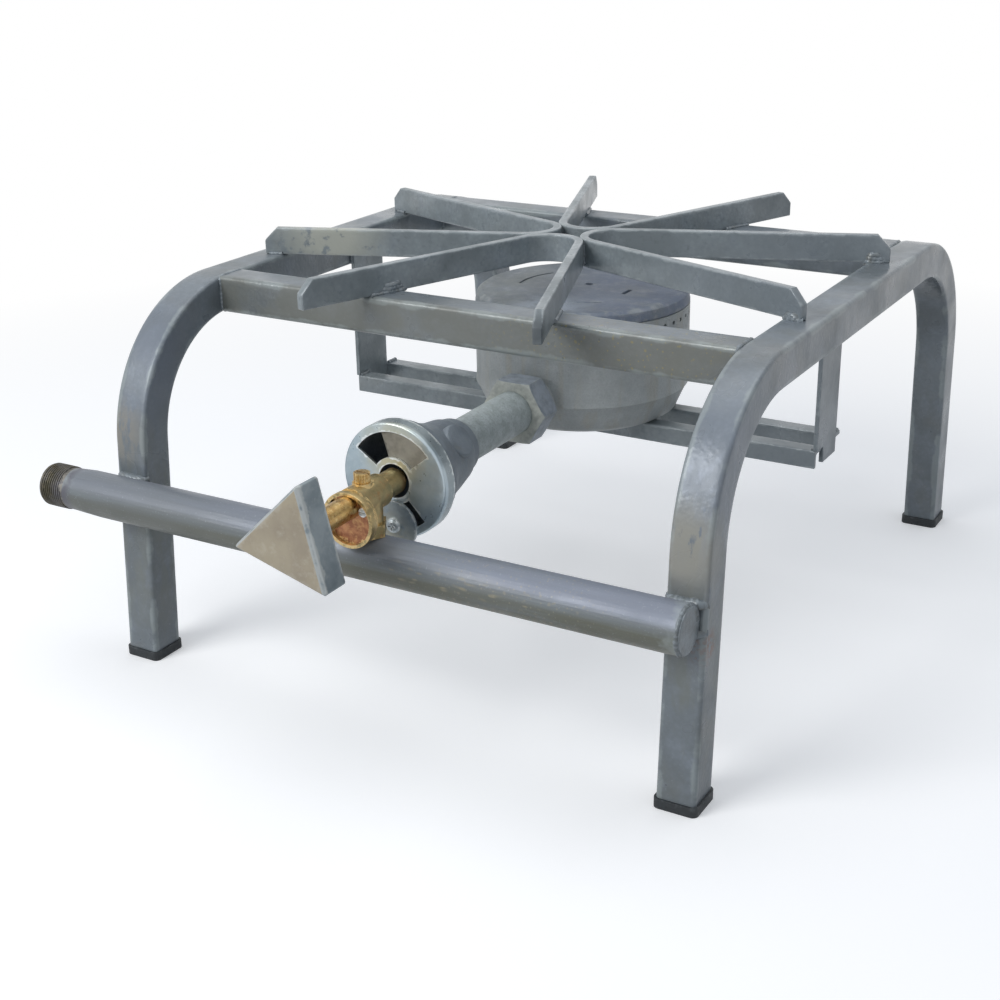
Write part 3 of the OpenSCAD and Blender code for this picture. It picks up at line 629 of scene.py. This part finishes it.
tubeSoft = {"wearReach": 3, "cornerSteps": 4, "bendSteps": 28}
bendMid = stock["bendRadius"] - stock["tube"]/2
legLean = math.radians(stock["legLean"])


def legY(z):
    # How far the leg's middle line is from the middle of the frame at a height
    top = stock["frameHeight"] - stock["bendRadius"] + bendMid*math.sin(legLean)
    out = stock["frameDepth"]/2 - stock["bendRadius"] + bendMid*math.cos(legLean)
    return out + (top - z)*math.tan(legLean)


def tubeSection():
    half, corner = stock["tube"]/2, stock["tubeCorner"]
    corners = [(x*half, y*half, corner) for x, y in ((-1, -1), (1, -1), (1, 1), (-1, 1))]
    return softOutline(corners, tubeSoft["wearReach"], tubeSoft["cornerSteps"])


def makeSideFrame(side, name, node):
    bendY = stock["frameDepth"]/2 - stock["bendRadius"]
    bendZ = stock["frameHeight"] - stock["bendRadius"]
    across = Vector((1, 0, 0))
    stations = []
    steps = tubeSoft["bendSteps"]
    for s in range(steps + 1):   # front leg's top to the top run
        turn = legLean + (math.pi/2 - legLean)*s/steps
        out = Vector((0, -math.cos(turn), math.sin(turn)))
        stations.append((at(side*tubeX, -bendY, bendZ) + out*bendMid*mm, across, out))
    foot = at(side*tubeX, -legY(stock["footHeight"]), stock["footHeight"])
    stations.insert(0, (foot, across, stations[0][2]))
    stations += [(Vector((place.x, 2*middle.y - place.y, place.z)), across, Vector((up.x, -up.y, up.z)))
                 for place, sideways, up in reversed(stations)]
    rings = []
    for i, (place, sideways, up) in enumerate(stations):
        ring = []
        for a, b, wear in tubeSection():
            spot = place + (sideways*a + up*b)*mm
            if i in (0, len(stations) - 1):   # the foot's end is cut level
                run = Vector((0, math.tan(legLean)*(1 if i == 0 else -1), 1))
                spot = spot + run*(stock["footHeight"]*mm - spot.z)
            ring.append((spot, wear))
        rings.append(ring)
    return settle(buildPiece(name, rings), framePaint, "stove", "frame_paint", node)


makeSideFrame(-1, "leftSideFrame", "left_side_frame")
makeSideFrame(1, "rightSideFrame", "right_side_frame")


def makeCrossTube(y, name, node):
    height = stock["frameHeight"] - stock["tube"]/2
    rings = [[(at(x, y + a, height + b), wear) for a, b, wear in tubeSection()] for x in (-tubeIn, tubeIn)]
    settle(buildPiece(name, rings), crossPaint, "stove", "frame_paint", node)


makeCrossTube(-stock["crossSpan"]/2, "frontCrossTube", "front_cross_tube")
makeCrossTube(stock["crossSpan"]/2, "rearCrossTube", "rear_cross_tube")

footSoftness = (0.9, 2.5, 4)
for node in cadNodes:
    if node.startswith("foot_cap"):
        dress(node, node.replace("foot_cap", "footCap"), footSoftness, footPlastic, "stove", "foot_plastic")
print("frame made")


# Grate

grate = {"height": 19, "thickness": 6, "reach": 203, "tip": 85, "bend": 22.3, "cut": 9, "corner": 0.8,
         "wearReach": 1.6, "softEnd": 0.7, "bendSteps": 20}
bendCentre = (grate["bend"] + grate["thickness"]/2)*math.sqrt(2)
tipFar = math.hypot(grate["reach"] - bendCentre, grate["tip"])
armTurn = math.atan2(grate["tip"], grate["reach"] - bendCentre) - math.asin(grate["bend"]/tipFar)
armLength = math.sqrt(tipFar**2 - grate["bend"]**2)


def armPoint(turn, arm, along, sideways, z):
    # A point on one arm of the bar that faces turn: along it from its bend, and sideways from its middle
    direction = Vector((math.cos(armTurn), math.sin(armTurn)*arm))
    normal = Vector((-math.sin(armTurn), math.cos(armTurn)*arm))
    flat = Vector((bendCentre, 0)) + normal*grate["bend"] + direction*along + normal*sideways
    c, s = math.cos(turn), math.sin(turn)
    return at(flat.x*c - flat.y*s, flat.x*s + flat.y*c, z)


def makeGrateBar(turn, name, node):
    spin = Matrix.Rotation(turn, 3, "Z")
    halfT, height, soft, base = grate["thickness"]/2, grate["height"], grate["softEnd"], stock["frameHeight"]
    corners = ((-halfT, 0), (halfT, 0), (halfT, height), (-halfT, height))
    section = softOutline([(x, y, grate["corner"]) for x, y in corners], grate["wearReach"])
    cutStart = armLength - grate["cut"]
    ends = ((armLength, soft), (armLength - soft, 0), (cutStart, 0), (cutStart - 2, 0), (0, 0))
    sides = []
    for arm in (1, -1):
        normal = spin @ Vector((-math.sin(armTurn), math.cos(armTurn)*arm, 0))
        sides.append([(armPoint(turn, arm, along, 0, base), normal, along, shrink) for along, shrink in ends])
    bends = []
    for s in range(1, grate["bendSteps"]):
        angle = math.pi/2 + armTurn + (math.pi - 2*armTurn)*s/grate["bendSteps"]
        out = spin @ Vector((math.cos(angle), math.sin(angle), 0))
        centre = at(0, 0, base) + spin @ Vector((bendCentre, 0, 0))*mm
        bends.append((centre + out*grate["bend"]*mm, out, 0, 0))
    stations = sides[0] + bends + sides[1][::-1]
    rings = []
    for place, normal, along, shrink in stations:
        top = min(height, height - (along - cutStart)) if along else height
        ring = []
        for a, b, wear in inset(section, shrink, 0.15) if shrink else section:
            lifted = b if b < height/2 else max(b - (height - top), 0.1)
            ring.append((place + (normal*a + Vector((0, 0, 1))*lifted)*mm, wear))
        rings.append(ring)
    settle(buildPiece(name, rings), barPaint, "stove", "frame_paint", node)


for turn, side in ((0, "right"), (90, "rear"), (180, "left"), (-90, "front")):
    makeGrateBar(math.radians(turn), "grateBar" + side.capitalize(), "grate_bar_" + side)
print("grate made")


# Burner hanger

hanger = {"strapWidth": 38.2, "strapThick": 3, "railTop": 136.5, "railLeg": 12.7, "railThick": 3,
          "railFront": -1.7, "softEnd": 0.3, "strapSoftness": (0.4, 1.4, 6)}

for side in ("left", "right"):
    dress("hanger_strap_" + side, "hangerStrap" + side.capitalize(), hanger["strapSoftness"], barPaint,
          "stove", "frame_paint")


def makeRail(y, name, node):
    leg, t, z, soft = hanger["railLeg"], hanger["railThick"], hanger["railTop"], hanger["softEnd"]
    section = softOutline([(0, z, 0.8), (0, z - leg, 0.6), (t, z - leg, 0.6), (t, z - t, 1.5),
                           (leg, z - t, 0.6), (leg, z, 0.6)], 1.6)
    end = tubeIn - hanger["strapThick"]/2
    rings = [[(at(x, y + a, b), wear) for a, b, wear in (inset(section, shrink, 1.0) if shrink else section)]
             for x, shrink in ((-end, soft), (-end + soft, 0), (end - soft, 0), (end, soft))]
    settle(buildPiece(name, rings), barPaint, "stove", "frame_paint", node)


makeRail(hanger["railFront"], "hangerRailFront", "hanger_rail_front")
makeRail(hanger["railFront"] + hanger["strapWidth"], "hangerRailRear", "hanger_rail_rear")
print("hanger made")


# Burner, pipes and bell

# The softness of each piece, in millimetres: edge, reach of the wear, longest side
burner = {"body": (0.8, 3, 8), "cap": (0.5, 2.5, 8), "nut": (0.6, 2.5, 4), "paintedHighlightFacing": 0.25}
dress("burner_body", "burnerBody", burner["body"], burnerPaint, "stove", "burner_iron")
dress("burner_cap", "burnerCap", burner["cap"], capPaint, "cap", "burner_iron")
hexNut = dress("inlet_hex_nut", "inletHexNut", burner["nut"], nutPaint, "stove", "pipe_steel")
# painted highlight: the nut's front-facing faces take the paler finish
dressFaces(hexNut, nutChamfer, lambda spot, normal: -normal.y > burner["paintedHighlightFacing"])

# The horn in the photo is shorter and fuller than the solid, with a broad flat boss, so it is drawn anew
bell = {
    "back": -160, "collar": 18.9, "bore": 15.1, "wall": 3, "behindPlate": 0.9,
    "pipeFront": -178, "pipeWall": 2.5, "pipeSteps": 12,
    "flare": ((-166.4, 18.9), (-167, 18.0), (-168, 18.1), (-169.2, 20.6), (-172, 21.5), (-178, 22.2),
              (-183, 22.8), (-188, 23.8), (-193, 25.3), (-198, 27), (-203, 29), (-208, 31.3), (-213, 34),
              (-218, 37), (-223, 39.8)),
    "swell": 2.4, "swellPlace": -186, "swellReach": 22, "swellTurn": 0.7,   # fuller below, to one side
    "bossPlace": -187, "bossTilt": 38,
    "boss": ((9.2, 11.37, 0), (23.2, 11.37, 0), (25.8, 11, 0.2), (26.6, 10.63, 0.5), (27, 9.72, 0.3),
             (27, 5.5, 0), (27, 1.83, 0)),   # far out, radius, wear
}


def aboutGasAxis(y, radius, turn):
    return at(radius*math.cos(turn), y, stock["gasHeight"] + radius*math.sin(turn))


def turnPiece(name, profile, segments):
    # A closed profile of (y, radius, wear), or of radius by direction, turned about the gas line's axis
    rings = []
    for s in range(segments):
        turn = 2*math.pi*s/segments
        rings.append([(aboutGasAxis(y, r(turn) if callable(r) else r, turn), wear) for y, r, wear in profile])
    return buildPiece(name, rings, closedPath=True)


def makeBell():
    plateLow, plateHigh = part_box("air_plate")
    front, mouth = (plateHigh.y - middle.y)/mm, (plateHigh.z - plateLow.z)/2/mm - bell["behindPlate"]
    back, bore, collar, wall = bell["back"], bell["bore"], bell["collar"], bell["wall"]
    profile = [(back, bore, 0.3), (back, collar - 1.2, 0.7), (back - 0.5, collar - 0.3, 1.0),
               (back - 1.3, collar, 0.6)]
    for y, radius in bell["flare"]:
        swell = bell["swell"]*max(0.0, 1 - abs(y - bell["swellPlace"])/bell["swellReach"])
        profile.append((y, lambda turn, r=radius, k=swell: min(
            mouth, r + k*max(0.0, math.cos(turn + bell["swellTurn"]))), 0.0))
    profile += [(front + 0.8, mouth, 0.6), (front, mouth - 0.8, 1.0), (front, mouth - wall, 0.6)]
    profile += [(y, min(mouth, radius) - wall, 0.0) for y, radius in reversed(bell["flare"][5:])]
    profile.append((bell["pipeFront"] + 1, bore, 0.0))
    settle(turnPiece("venturiBell", profile, 96), bellPaint, "stove", "bell_paint", "venturi_bell")
    tilt = math.radians(bell["bossTilt"])
    out, side = Vector((math.cos(tilt), 0, math.sin(tilt))), Vector((-math.sin(tilt), 0, math.cos(tilt)))
    centre, depth = at(0, bell["bossPlace"], stock["gasHeight"]), Vector((0, 1, 0))
    turns = [2*math.pi*k/48 for k in range(48)]
    rings = [[(centre + (out*far + side*radius*math.cos(a) + depth*radius*math.sin(a))*mm, wear)
              for a in turns] for far, radius, wear in bell["boss"]]
    settle(buildPiece("bellBoss", rings, angle=60), bellPaint, "stove", "bell_paint")


def makeMixingPipe():
    back = (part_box("mixing_pipe")[1].y - middle.y)/mm
    front, radius, wall, steps = bell["pipeFront"], stock["pipeRadius"], bell["pipeWall"], bell["pipeSteps"]
    outside = [(front + (back - front)*k/steps, radius, 0.0) for k in range(steps + 1)]
    profile = outside + [(back, radius - wall, 0.0), (front, radius - wall, 0.0)]
    settle(turnPiece("mixingPipe", profile, 72), roughPipePaint, "stove", "pipe_steel", "mixing_pipe")


makeBell()
makeMixingPipe()
gasPipe = softCopy("gas_pipe", "gasPipe", *pipeEnd["softness"])
for vertex in gasPipe.data.vertices:   # the thread is cut into the pipe, and its crests are drawn below
    out = (vertex.co - middle)/mm - Vector((0, pipeY, stock["pipeHeight"]))
    if out.x < pipeEnd["threadEnd"] + pipeEnd["slack"] and math.hypot(out.y, out.z) > pipeEnd["root"]:
        keep = pipeEnd["root"]/math.hypot(out.y, out.z)
        vertex.co = at(out.x, pipeY + out.y*keep, stock["pipeHeight"] + out.z*keep)
settle(gasPipe, pipePaint, "stove", "frame_paint", "gas_pipe")
dressFaces(gasPipe, bareThread, lambda spot, normal: spot.x < pipeEnd["threadEnd"])
dress("pipe_end_plug", "pipeEndPlug", pipeEnd["plug"], weldPaint, "stove", "frame_paint")
print("burner line made")


# Welds and the pipe's thread

welds = {"wide": 3.4, "fine": 1.5, "lump": 2.5, "pitch": 3.1, "ripple": 0.1, "even": 1.4, "rough": 2.6,
         "grain": 170.0, "seed": 7.0, "sunk": 0.7, "cut": 3, "onTop": 0.4, "overPipe": 8.6, "proud": 0.6}
thread = {"pitch": 1.8, "ridge": 0.65, "crest": 14.7, "start": 1.2, "runOut": 2}


def openTree(name, sizes):
    # A node tree with a geometry in and out, one named input per size, and a material input
    tree = bpy.data.node_groups.new(name, "GeometryNodeTree")
    tree.interface.new_socket("Geometry", in_out="INPUT", socket_type="NodeSocketGeometry")
    for size in sizes:
        tree.interface.new_socket(size, in_out="INPUT", socket_type="NodeSocketFloat")
    tree.interface.new_socket("Finish", in_out="INPUT", socket_type="NodeSocketMaterial")
    tree.interface.new_socket("Geometry", in_out="OUTPUT", socket_type="NodeSocketGeometry")
    return tree, addNode(tree, "NodeGroupInput")


def closeTree(tree, geometry, given):
    smooth = addNode(tree, "GeometryNodeSetShadeSmooth", None, {"Geometry": geometry})[0]
    solid = addNode(tree, "GeometryNodeRealizeInstances", None, {"Geometry": smooth})[0]
    finished = addNode(tree, "GeometryNodeSetMaterial", None,
                       {"Geometry": solid, "Material": given["Finish"]})[0]
    addNode(tree, "NodeGroupOutput", None, {"Geometry": finished})


def growPiece(name, tree, paths, values):
    # The paths become edges, the tree grows on them, and the result is kept as one plain mesh
    points = [spot for path, closed in paths for spot in path]
    edges, first = [], 0
    for path, closed in paths:
        edges += [(first + i, first + i + 1) for i in range(len(path) - 1)]
        if closed:
            edges.append((first + len(path) - 1, first))
        first += len(path)
    mesh = bpy.data.meshes.new(name + "Path")
    mesh.from_pydata(points, edges, [])
    guide = addObject(name + "Guide", mesh)
    modifier = guide.modifiers.new("grow", "NODES")
    modifier.node_group = tree
    for item in tree.interface.items_tree:
        if item.in_out == "INPUT" and item.name in values:
            modifier[item.identifier] = values[item.name]
    seen = guide.evaluated_get(bpy.context.evaluated_depsgraph_get())
    grown = bpy.data.meshes.new_from_object(seen)
    grown.name = name
    guide.modifiers.remove(modifier)
    guide.data = grown
    guide.name = name
    return guide


def makeWeldTree():
    # A bead swept along each path, with ripples across it and an uneven hand-laid width
    tree, given = openTree("weldBead", ("Radius", "Pitch", "Ripple", "Unevenness"))
    line = addNode(tree, "GeometryNodeMeshToCurve", None, {"Mesh": given["Geometry"]})[0]
    step = addNode(tree, "ShaderNodeMath", {"operation": "MULTIPLY", 1: 0.2}, {0: given["Pitch"]})[0]
    fine = addNode(tree, "GeometryNodeResampleCurve", {"mode": "LENGTH"}, {"Curve": line, "Length": step})[0]
    along = addNode(tree, "GeometryNodeSplineParameter")["Length"]
    turns = addNode(tree, "ShaderNodeMath", {"operation": "DIVIDE"}, {0: along, 1: given["Pitch"]})[0]
    angle = addNode(tree, "ShaderNodeMath", {"operation": "MULTIPLY", 1: 2*math.pi}, {0: turns})[0]
    wave = addNode(tree, "ShaderNodeMath", {"operation": "SINE"}, {0: angle})[0]
    marked = addNode(tree, "GeometryNodeStoreNamedAttribute", {"Name": "wave"},
                     {"Geometry": fine, "Value": wave})[0]
    ring = addNode(tree, "GeometryNodeCurvePrimitiveCircle", {"Resolution": 10},
                   {"Radius": given["Radius"]})[0]
    bead = addNode(tree, "GeometryNodeCurveToMesh", {"Fill Caps": True},
                   {"Curve": marked, "Profile Curve": ring})[0]
    crest = addNode(tree, "GeometryNodeInputNamedAttribute", {"Name": "wave"})[0]
    noise = addNode(tree, "ShaderNodeTexNoise", {"noise_dimensions": "4D", "W": welds["seed"],
                                                 "Scale": welds["grain"], "Detail": 1.0})["Fac"]
    centred = addNode(tree, "ShaderNodeMath", {"operation": "SUBTRACT", 1: 0.5}, {0: noise})[0]
    lumps = addNode(tree, "ShaderNodeMath", {"operation": "MULTIPLY"},
                    {0: centred, 1: given["Unevenness"]})[0]
    lift = addNode(tree, "ShaderNodeMath", {"operation": "MULTIPLY_ADD"},
                   {0: crest, 1: given["Ripple"], 2: lumps})[0]
    outward = addNode(tree, "GeometryNodeInputNormal")[0]
    shift = addNode(tree, "ShaderNodeVectorMath", {"operation": "SCALE"}, {0: outward, "Scale": lift})[0]
    rippled = addNode(tree, "GeometryNodeSetPosition", None, {"Geometry": bead, "Offset": shift})[0]
    rub = addNode(tree, "ShaderNodeMath", {"operation": "MULTIPLY_ADD", 1: 0.5, 2: 0.4}, {0: crest})[0]
    worn = addNode(tree, "GeometryNodeStoreNamedAttribute", {"Name": "wear"},
                   {"Geometry": rippled, "Value": rub})[0]
    closeTree(tree, worn, given)
    return tree


def makeThreadTree():
    # A helical ridge round the pipe's end
    tree, given = openTree("pipeThread", ("Root", "Pitch", "Turns", "Length", "Ridge", "Start", "Across",
                                          "Up"))
    coil = addNode(tree, "GeometryNodeCurveSpiral", {"Resolution": 40},
                   {"Rotations": given["Turns"], "Start Radius": given["Root"], "End Radius": given["Root"],
                    "Height": given["Length"]})[0]
    place = addNode(tree, "ShaderNodeCombineXYZ", None,
                    {0: given["Start"], 1: given["Across"], 2: given["Up"]})[0]
    lying = addNode(tree, "GeometryNodeTransform", {"Rotation": (0, math.pi/2, 0)},
                    {"Geometry": coil, "Translation": place})[0]
    ring = addNode(tree, "GeometryNodeCurvePrimitiveCircle", {"Resolution": 6}, {"Radius": given["Ridge"]})[0]
    ridge = addNode(tree, "GeometryNodeCurveToMesh", {"Fill Caps": True},
                    {"Curve": lying, "Profile Curve": ring})[0]
    closeTree(tree, ridge, given)
    return tree


def frameWelds():
    # Where one length of stock was joined to the next: each path is (points, closed)
    half, top, low = stock["tube"]/2, stock["frameHeight"], stock["frameHeight"] - stock["tube"]
    cross, sunk, cut = stock["crossSpan"]/2, welds["sunk"], welds["cut"]
    h = half - sunk
    front, rear, railTop = hanger["railFront"], hanger["railFront"] + hanger["strapWidth"], hanger["railTop"]
    runs = []
    for sx in (-1, 1):
        x = sx*(tubeIn - 0.1)
        for y in (-cross, cross):   # round the cross tube's end, with its corners cut
            runs.append(([(x, y + a, b) for a, b in (
                (-h, low + cut), (-h, top - cut), (2*sunk - h, top - 2*sunk), (cut - h, top - sunk),
                (h - cut, top - sunk), (h - 2*sunk, top - 2*sunk), (h, top - cut), (h, low + cut),
                (h - 2*sunk, low + 2*sunk), (h - cut, low + sunk), (cut - h, low + sunk),
                (2*sunk - h, low + 2*sunk))], True))
        x = sx*(tubeIn - 0.8)   # round the strap's top
        runs.append(([(x, front, low + 1), (x, front, top - half), (x, front + 1, top - half + 0.6),
                      (x, rear - 1, top - half + 0.6), (x, rear, top - half), (x, rear, low + 1)], False))
        x = sx*(tubeIn - hanger["strapThick"] - 0.4)
        for y in (front, rear):
            runs.append(([(x, y + k, railTop + 0.3) for k in (1, 6, 11)], False))
    touch = bendCentre/2
    posts = [([(sx*(touch + off), sy*(touch + off), top + up) for up in (2, 9, 17)], False)
             for sx in (-1, 1) for sy in (-1, 1) for off in (-3.6, 3.6)]   # where two bends touch
    runs, posts = ([([at(*spot) for spot in path], closed) for path, closed in some]
                   for some in (runs, posts))
    for quarter in range(4):   # the grate's arms over the side tubes, then over the cross tubes
        overSide = quarter % 2 == 0
        inner, outer = (tubeIn + 1, grate["reach"] - 4) if overSide else (cross - half + 1, cross + half - 1)
        for arm in (1, -1):
            for side in (-1, 1):
                off = side*(grate["thickness"]/2 + 0.3)
                start, end = ((far - bendCentre + math.sin(armTurn)*(grate["bend"] + off))/math.cos(armTurn)
                              for far in (inner, outer))
                places = (start + (end - start)*k/4 for k in range(5))
                runs.append(([armPoint(math.radians(90*quarter), arm, along, off, top + welds["onTop"])
                              for along in places], False))
    return runs + posts


def lumpWelds():
    # Heavier lumps at three arms: which bar, arm and side, how far out, how wide, and how high up the bar.
    # Their ends are tucked into the bar.
    lumps = []
    face = grate["thickness"]/2
    tucks = ((-1, 2.8), (-0.5, 0.4), (0, 0), (0.5, 0.4), (1, 2.8))
    for quarter, arm, side, far, wide, climb in ((0, 1, -1, 176, 7, 4.6), (0, -1, 1, 179, 7, 2),
                                                 (3, -1, -1, 116, 11, 4.4)):
        for share, reach in ((0, wide), (0.5, wide*0.85), (1, wide*0.7)):
            height = stock["frameHeight"] + 0.3 + share*climb
            lumps.append(([armPoint(math.radians(90*quarter), arm, far + step*reach,
                                    side*(face - sunk - share*0.4), height) for step, sunk in tucks], False))
    return lumps


def pipeWelds():
    # The gas pipe to the legs' fronts, above and below, their ends tucked into the legs
    half = stock["tube"]/2
    tucks = ((-1, 4.5), (-0.75, 0.6), (-0.3, 0), (0.3, 0), (0.75, 0.6), (1, 4.5))
    runs = []
    for sx in (-1, 1):
        for height in (stock["pipeHeight"] - welds["overPipe"], stock["pipeHeight"] + welds["overPipe"]):
            front = -legY(height) - half - welds["proud"]
            runs.append(([at(sx*tubeX + step*(half - 2), front + sunk, height)
                          for step, sunk in tucks], False))
    return runs


def plugWeld():
    # The bead that closes the pipe's right end
    x, radius, height = stock["pipeRight"] - 0.6, stock["pipeRadius"] - 1.1, stock["pipeHeight"]
    turns = (2*math.pi*k/32 for k in range(32))
    return [([at(x, pipeY + radius*math.cos(a), height + radius*math.sin(a)) for a in turns], True)]


weldTree = makeWeldTree()
for name, runs, radius, lumpy in (("frameWeldBeads", frameWelds(), "fine", "even"),
                                  ("frameWeldLumps", lumpWelds(), "lump", "rough"),
                                  ("pipeWeldBeads", pipeWelds(), "wide", "rough"),
                                  ("plugWeldBead", plugWeld(), "fine", "even")):
    values = {"Radius": welds[radius]*mm, "Pitch": welds["pitch"]*mm, "Ripple": welds["ripple"]*mm,
              "Unevenness": welds[lumpy]*mm, "Finish": weldPaint}
    settle(growPiece(name, weldTree, runs, values), weldPaint, "stove", "frame_paint")

turned = pipeEnd["threadEnd"] - pipeEnd["left"] - 2*thread["ridge"] - thread["runOut"]
begin = at(pipeEnd["left"] + thread["start"], pipeY, stock["pipeHeight"])
values = {"Root": (thread["crest"] - thread["ridge"])*mm, "Pitch": thread["pitch"]*mm,
          "Turns": turned/thread["pitch"], "Length": turned*mm, "Ridge": thread["ridge"]*mm,
          "Start": begin.x, "Across": begin.y, "Up": begin.z, "Finish": bareThread}
axisEnds = [at(pipeEnd[k], pipeY, stock["pipeHeight"]) for k in ("left", "threadEnd")]
ridge = growPiece("pipeThreadRidge", makeThreadTree(), [(axisEnds, False)], values)
settle(ridge, bareThread, "stove", "pipe_steel")
print("welds and thread made")


# Shutter

shutter = {"cup": (0, 0.7, 4), "plate": (0.2, 1.0, 4), "washer": (0.4, 1.2, 3), "screw": (0.2, 0.8, 2)}
dress("air_shutter", "airShutter", shutter["cup"], shutterZinc, "shutter", "zinc_plate")
dress("air_plate", "airPlate", shutter["plate"], plateZinc, "stove", "zinc_plate")
dress("clamp_washer", "clampWasher", shutter["washer"], washerZinc, "stove", "zinc_plate")
dress("clamp_screw", "clampScrew", shutter["screw"], screwZinc, "stove", "screw_steel")
print("shutter made")


# Valve

valve = {
    "body": (0.5, 1.5, 3), "bonnet": (0.4, 1.2, 3), "screws": (0.2, 0.8, 2), "jet": (0.3, 1.0, 3),
    "recess": 0.8, "recessFacing": 0.9, "knob": (1.1, 3.5, 4), "knobFacing": 0.97,
}
dress("valve_body", "valveBody", valve["body"], oliveBrass, "stove", "valve_brass")
bonnet = dress("valve_bonnet", "valveBonnet", valve["bonnet"], oliveBrass, "stove", "valve_brass")
recessY = (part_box("valve_bonnet")[0].y - middle.y)/mm + valve["recess"]
dressFaces(bonnet, redBrass, lambda spot, normal: spot.y > recessY and abs(normal.y) > valve["recessFacing"])
dress("bonnet_screws", "bonnetScrews", valve["screws"], screwZinc, "stove", "screw_steel")
dress("flow_screw", "flowScrew", valve["screws"], goldBrass, "flame_screw", "valve_brass")
dress("valve_stem", "valveStem", valve["body"], goldBrass, "knob_and_plug", "valve_brass")
dress("injector", "injectorJet", valve["jet"], goldBrass, "stove", "valve_brass")
knobMetal = dress("knob", "knobMetal", valve["knob"], knobSide, "knob_and_plug", "knob_metal")
dressFaces(knobMetal, knobFace, lambda spot, normal: -normal.y > valve["knobFacing"])
for node, material in (("valve_plug", goldBrass), ("plug_spring", screwZinc)):
    cadNodes[node].data.materials.clear()
    cadNodes[node].data.materials.append(material)
print("valve made")


# Stage

stage = {
    "floor": "#f8f8f8", "floorBounce": "#9c9d9d", "floorLift": 0.22, "floorSize": 14, "white": (1, 1, 1, 1),
    "sky": "#e6effc", "world": 0.42, "fadeStart": 0.45, "fadeEnd": 1.1,
    "lamps": (("keyLamp", (-0.75, -1.6, 1.3), 1.2, 23),   # name, place, size, power
              ("topLamp", (0.1, 0.3, 2.2), 2.0, 12)),
    "aim": (0, 0, 0.15),
}
view = {"place": (509.67, -969.71, 506.42), "yaw": 30.48, "pitch": -21.91, "roll": -0.94, "focal": 56.68}


def seenRays(tree):
    # 1 for what is seen straight, in a reflection or through glass, where the background is white
    rays = addNode(tree, "ShaderNodeLightPath")
    mirrored = addNode(tree, "ShaderNodeMath", {"operation": "MAXIMUM"},
                       {0: rays["Is Glossy Ray"], 1: rays["Is Transmission Ray"]})[0]
    return addNode(tree, "ShaderNodeMath", {"operation": "MAXIMUM"},
                   {0: rays["Is Camera Ray"], 1: mirrored})[0]


def makeFloor():
    mesh = bpy.data.meshes.new("floorSheet")
    half = stage["floorSize"]/2
    corners = [(x*half, y*half, 0) for x, y in ((-1, -1), (1, -1), (1, 1), (-1, 1))]
    mesh.from_pydata(corners, [], [(0, 1, 2, 3)])
    floor = addObject("floorSheet", mesh)
    material = bpy.data.materials.new("paleFloor")
    material.use_nodes = True
    tree = material.node_tree
    tree.nodes.clear()
    coords = addNode(tree, "ShaderNodeTexCoord")["Object"]
    far = addNode(tree, "ShaderNodeVectorMath", {"operation": "LENGTH"}, {0: coords})["Value"]
    fade = addNode(tree, "ShaderNodeMapRange", {1: stage["fadeStart"], 2: stage["fadeEnd"]},
                   {"Value": far})[0]
    seen = seenRays(tree)
    shown = addNode(tree, "ShaderNodeMath", {"operation": "MULTIPLY"}, {0: fade, 1: seen})[0]
    tone = addNode(tree, "ShaderNodeMix", {"data_type": "RGBA", 6: linear(stage["floorBounce"]),
                                           7: linear(stage["floor"])}, {0: seen})[2]
    matt = addNode(tree, "ShaderNodeBsdfDiffuse", None, {"Color": tone})[0]
    glow = addNode(tree, "ShaderNodeMath", {"operation": "MULTIPLY", 1: stage["floorLift"]}, {0: seen})[0]
    lift = addNode(tree, "ShaderNodeEmission", {"Color": stage["white"]}, {"Strength": glow})[0]
    lifted = addNode(tree, "ShaderNodeAddShader", None, {0: matt, 1: lift})[0]
    white = addNode(tree, "ShaderNodeEmission", {"Color": stage["white"], "Strength": 1.0})[0]
    mix = addNode(tree, "ShaderNodeMixShader", None, {0: shown, 1: lifted, 2: white})[0]
    addNode(tree, "ShaderNodeOutputMaterial", None, {"Surface": mix})
    floor.data.materials.append(material)


def makeWorld():
    world = bpy.data.worlds.new("studioWorld")
    bpy.context.scene.world = world
    world.use_nodes = True
    tree = world.node_tree
    tree.nodes.clear()
    fill = addNode(tree, "ShaderNodeBackground",
                   {"Color": linear(stage["sky"]), "Strength": stage["world"]})[0]
    white = addNode(tree, "ShaderNodeBackground", {"Color": stage["white"], "Strength": 1.0})[0]
    shown = addNode(tree, "ShaderNodeMixShader", None, {0: seenRays(tree), 1: fill, 2: white})[0]
    addNode(tree, "ShaderNodeOutputWorld", None, {"Surface": shown})


def makeLamps():
    for name, place, size, power in stage["lamps"]:
        lamp = bpy.data.lights.new(name, "AREA")
        lamp.shape = "DISK"
        lamp.size = size
        lamp.energy = power
        holder = addObject(name, lamp)
        holder.location = place
        holder.rotation_euler = (Vector(place) - Vector(stage["aim"])).to_track_quat("Z", "Y").to_euler()


def makeCamera():
    yaw, pitch, roll = (math.radians(view[k]) for k in ("yaw", "pitch", "roll"))
    forward = Vector((-math.sin(yaw)*math.cos(pitch), math.cos(yaw)*math.cos(pitch), math.sin(pitch)))
    level = Vector((math.cos(yaw), math.sin(yaw), 0))
    upright = level.cross(forward)
    right = level*math.cos(roll) + upright*math.sin(roll)
    up = upright*math.cos(roll) - level*math.sin(roll)
    lens = bpy.data.cameras.new("photoCamera")
    lens.sensor_width = 36
    lens.lens = view["focal"]
    camera = addObject("photoCamera", lens)
    turned = Matrix((right, up, -forward)).transposed().to_4x4()
    camera.matrix_world = Matrix.Translation(at(*view["place"])) @ turned
    bpy.context.scene.camera = camera


makeFloor()
makeWorld()
makeLamps()
makeCamera()
bpy.context.scene.view_settings.view_transform = "Standard"
print("stage made")
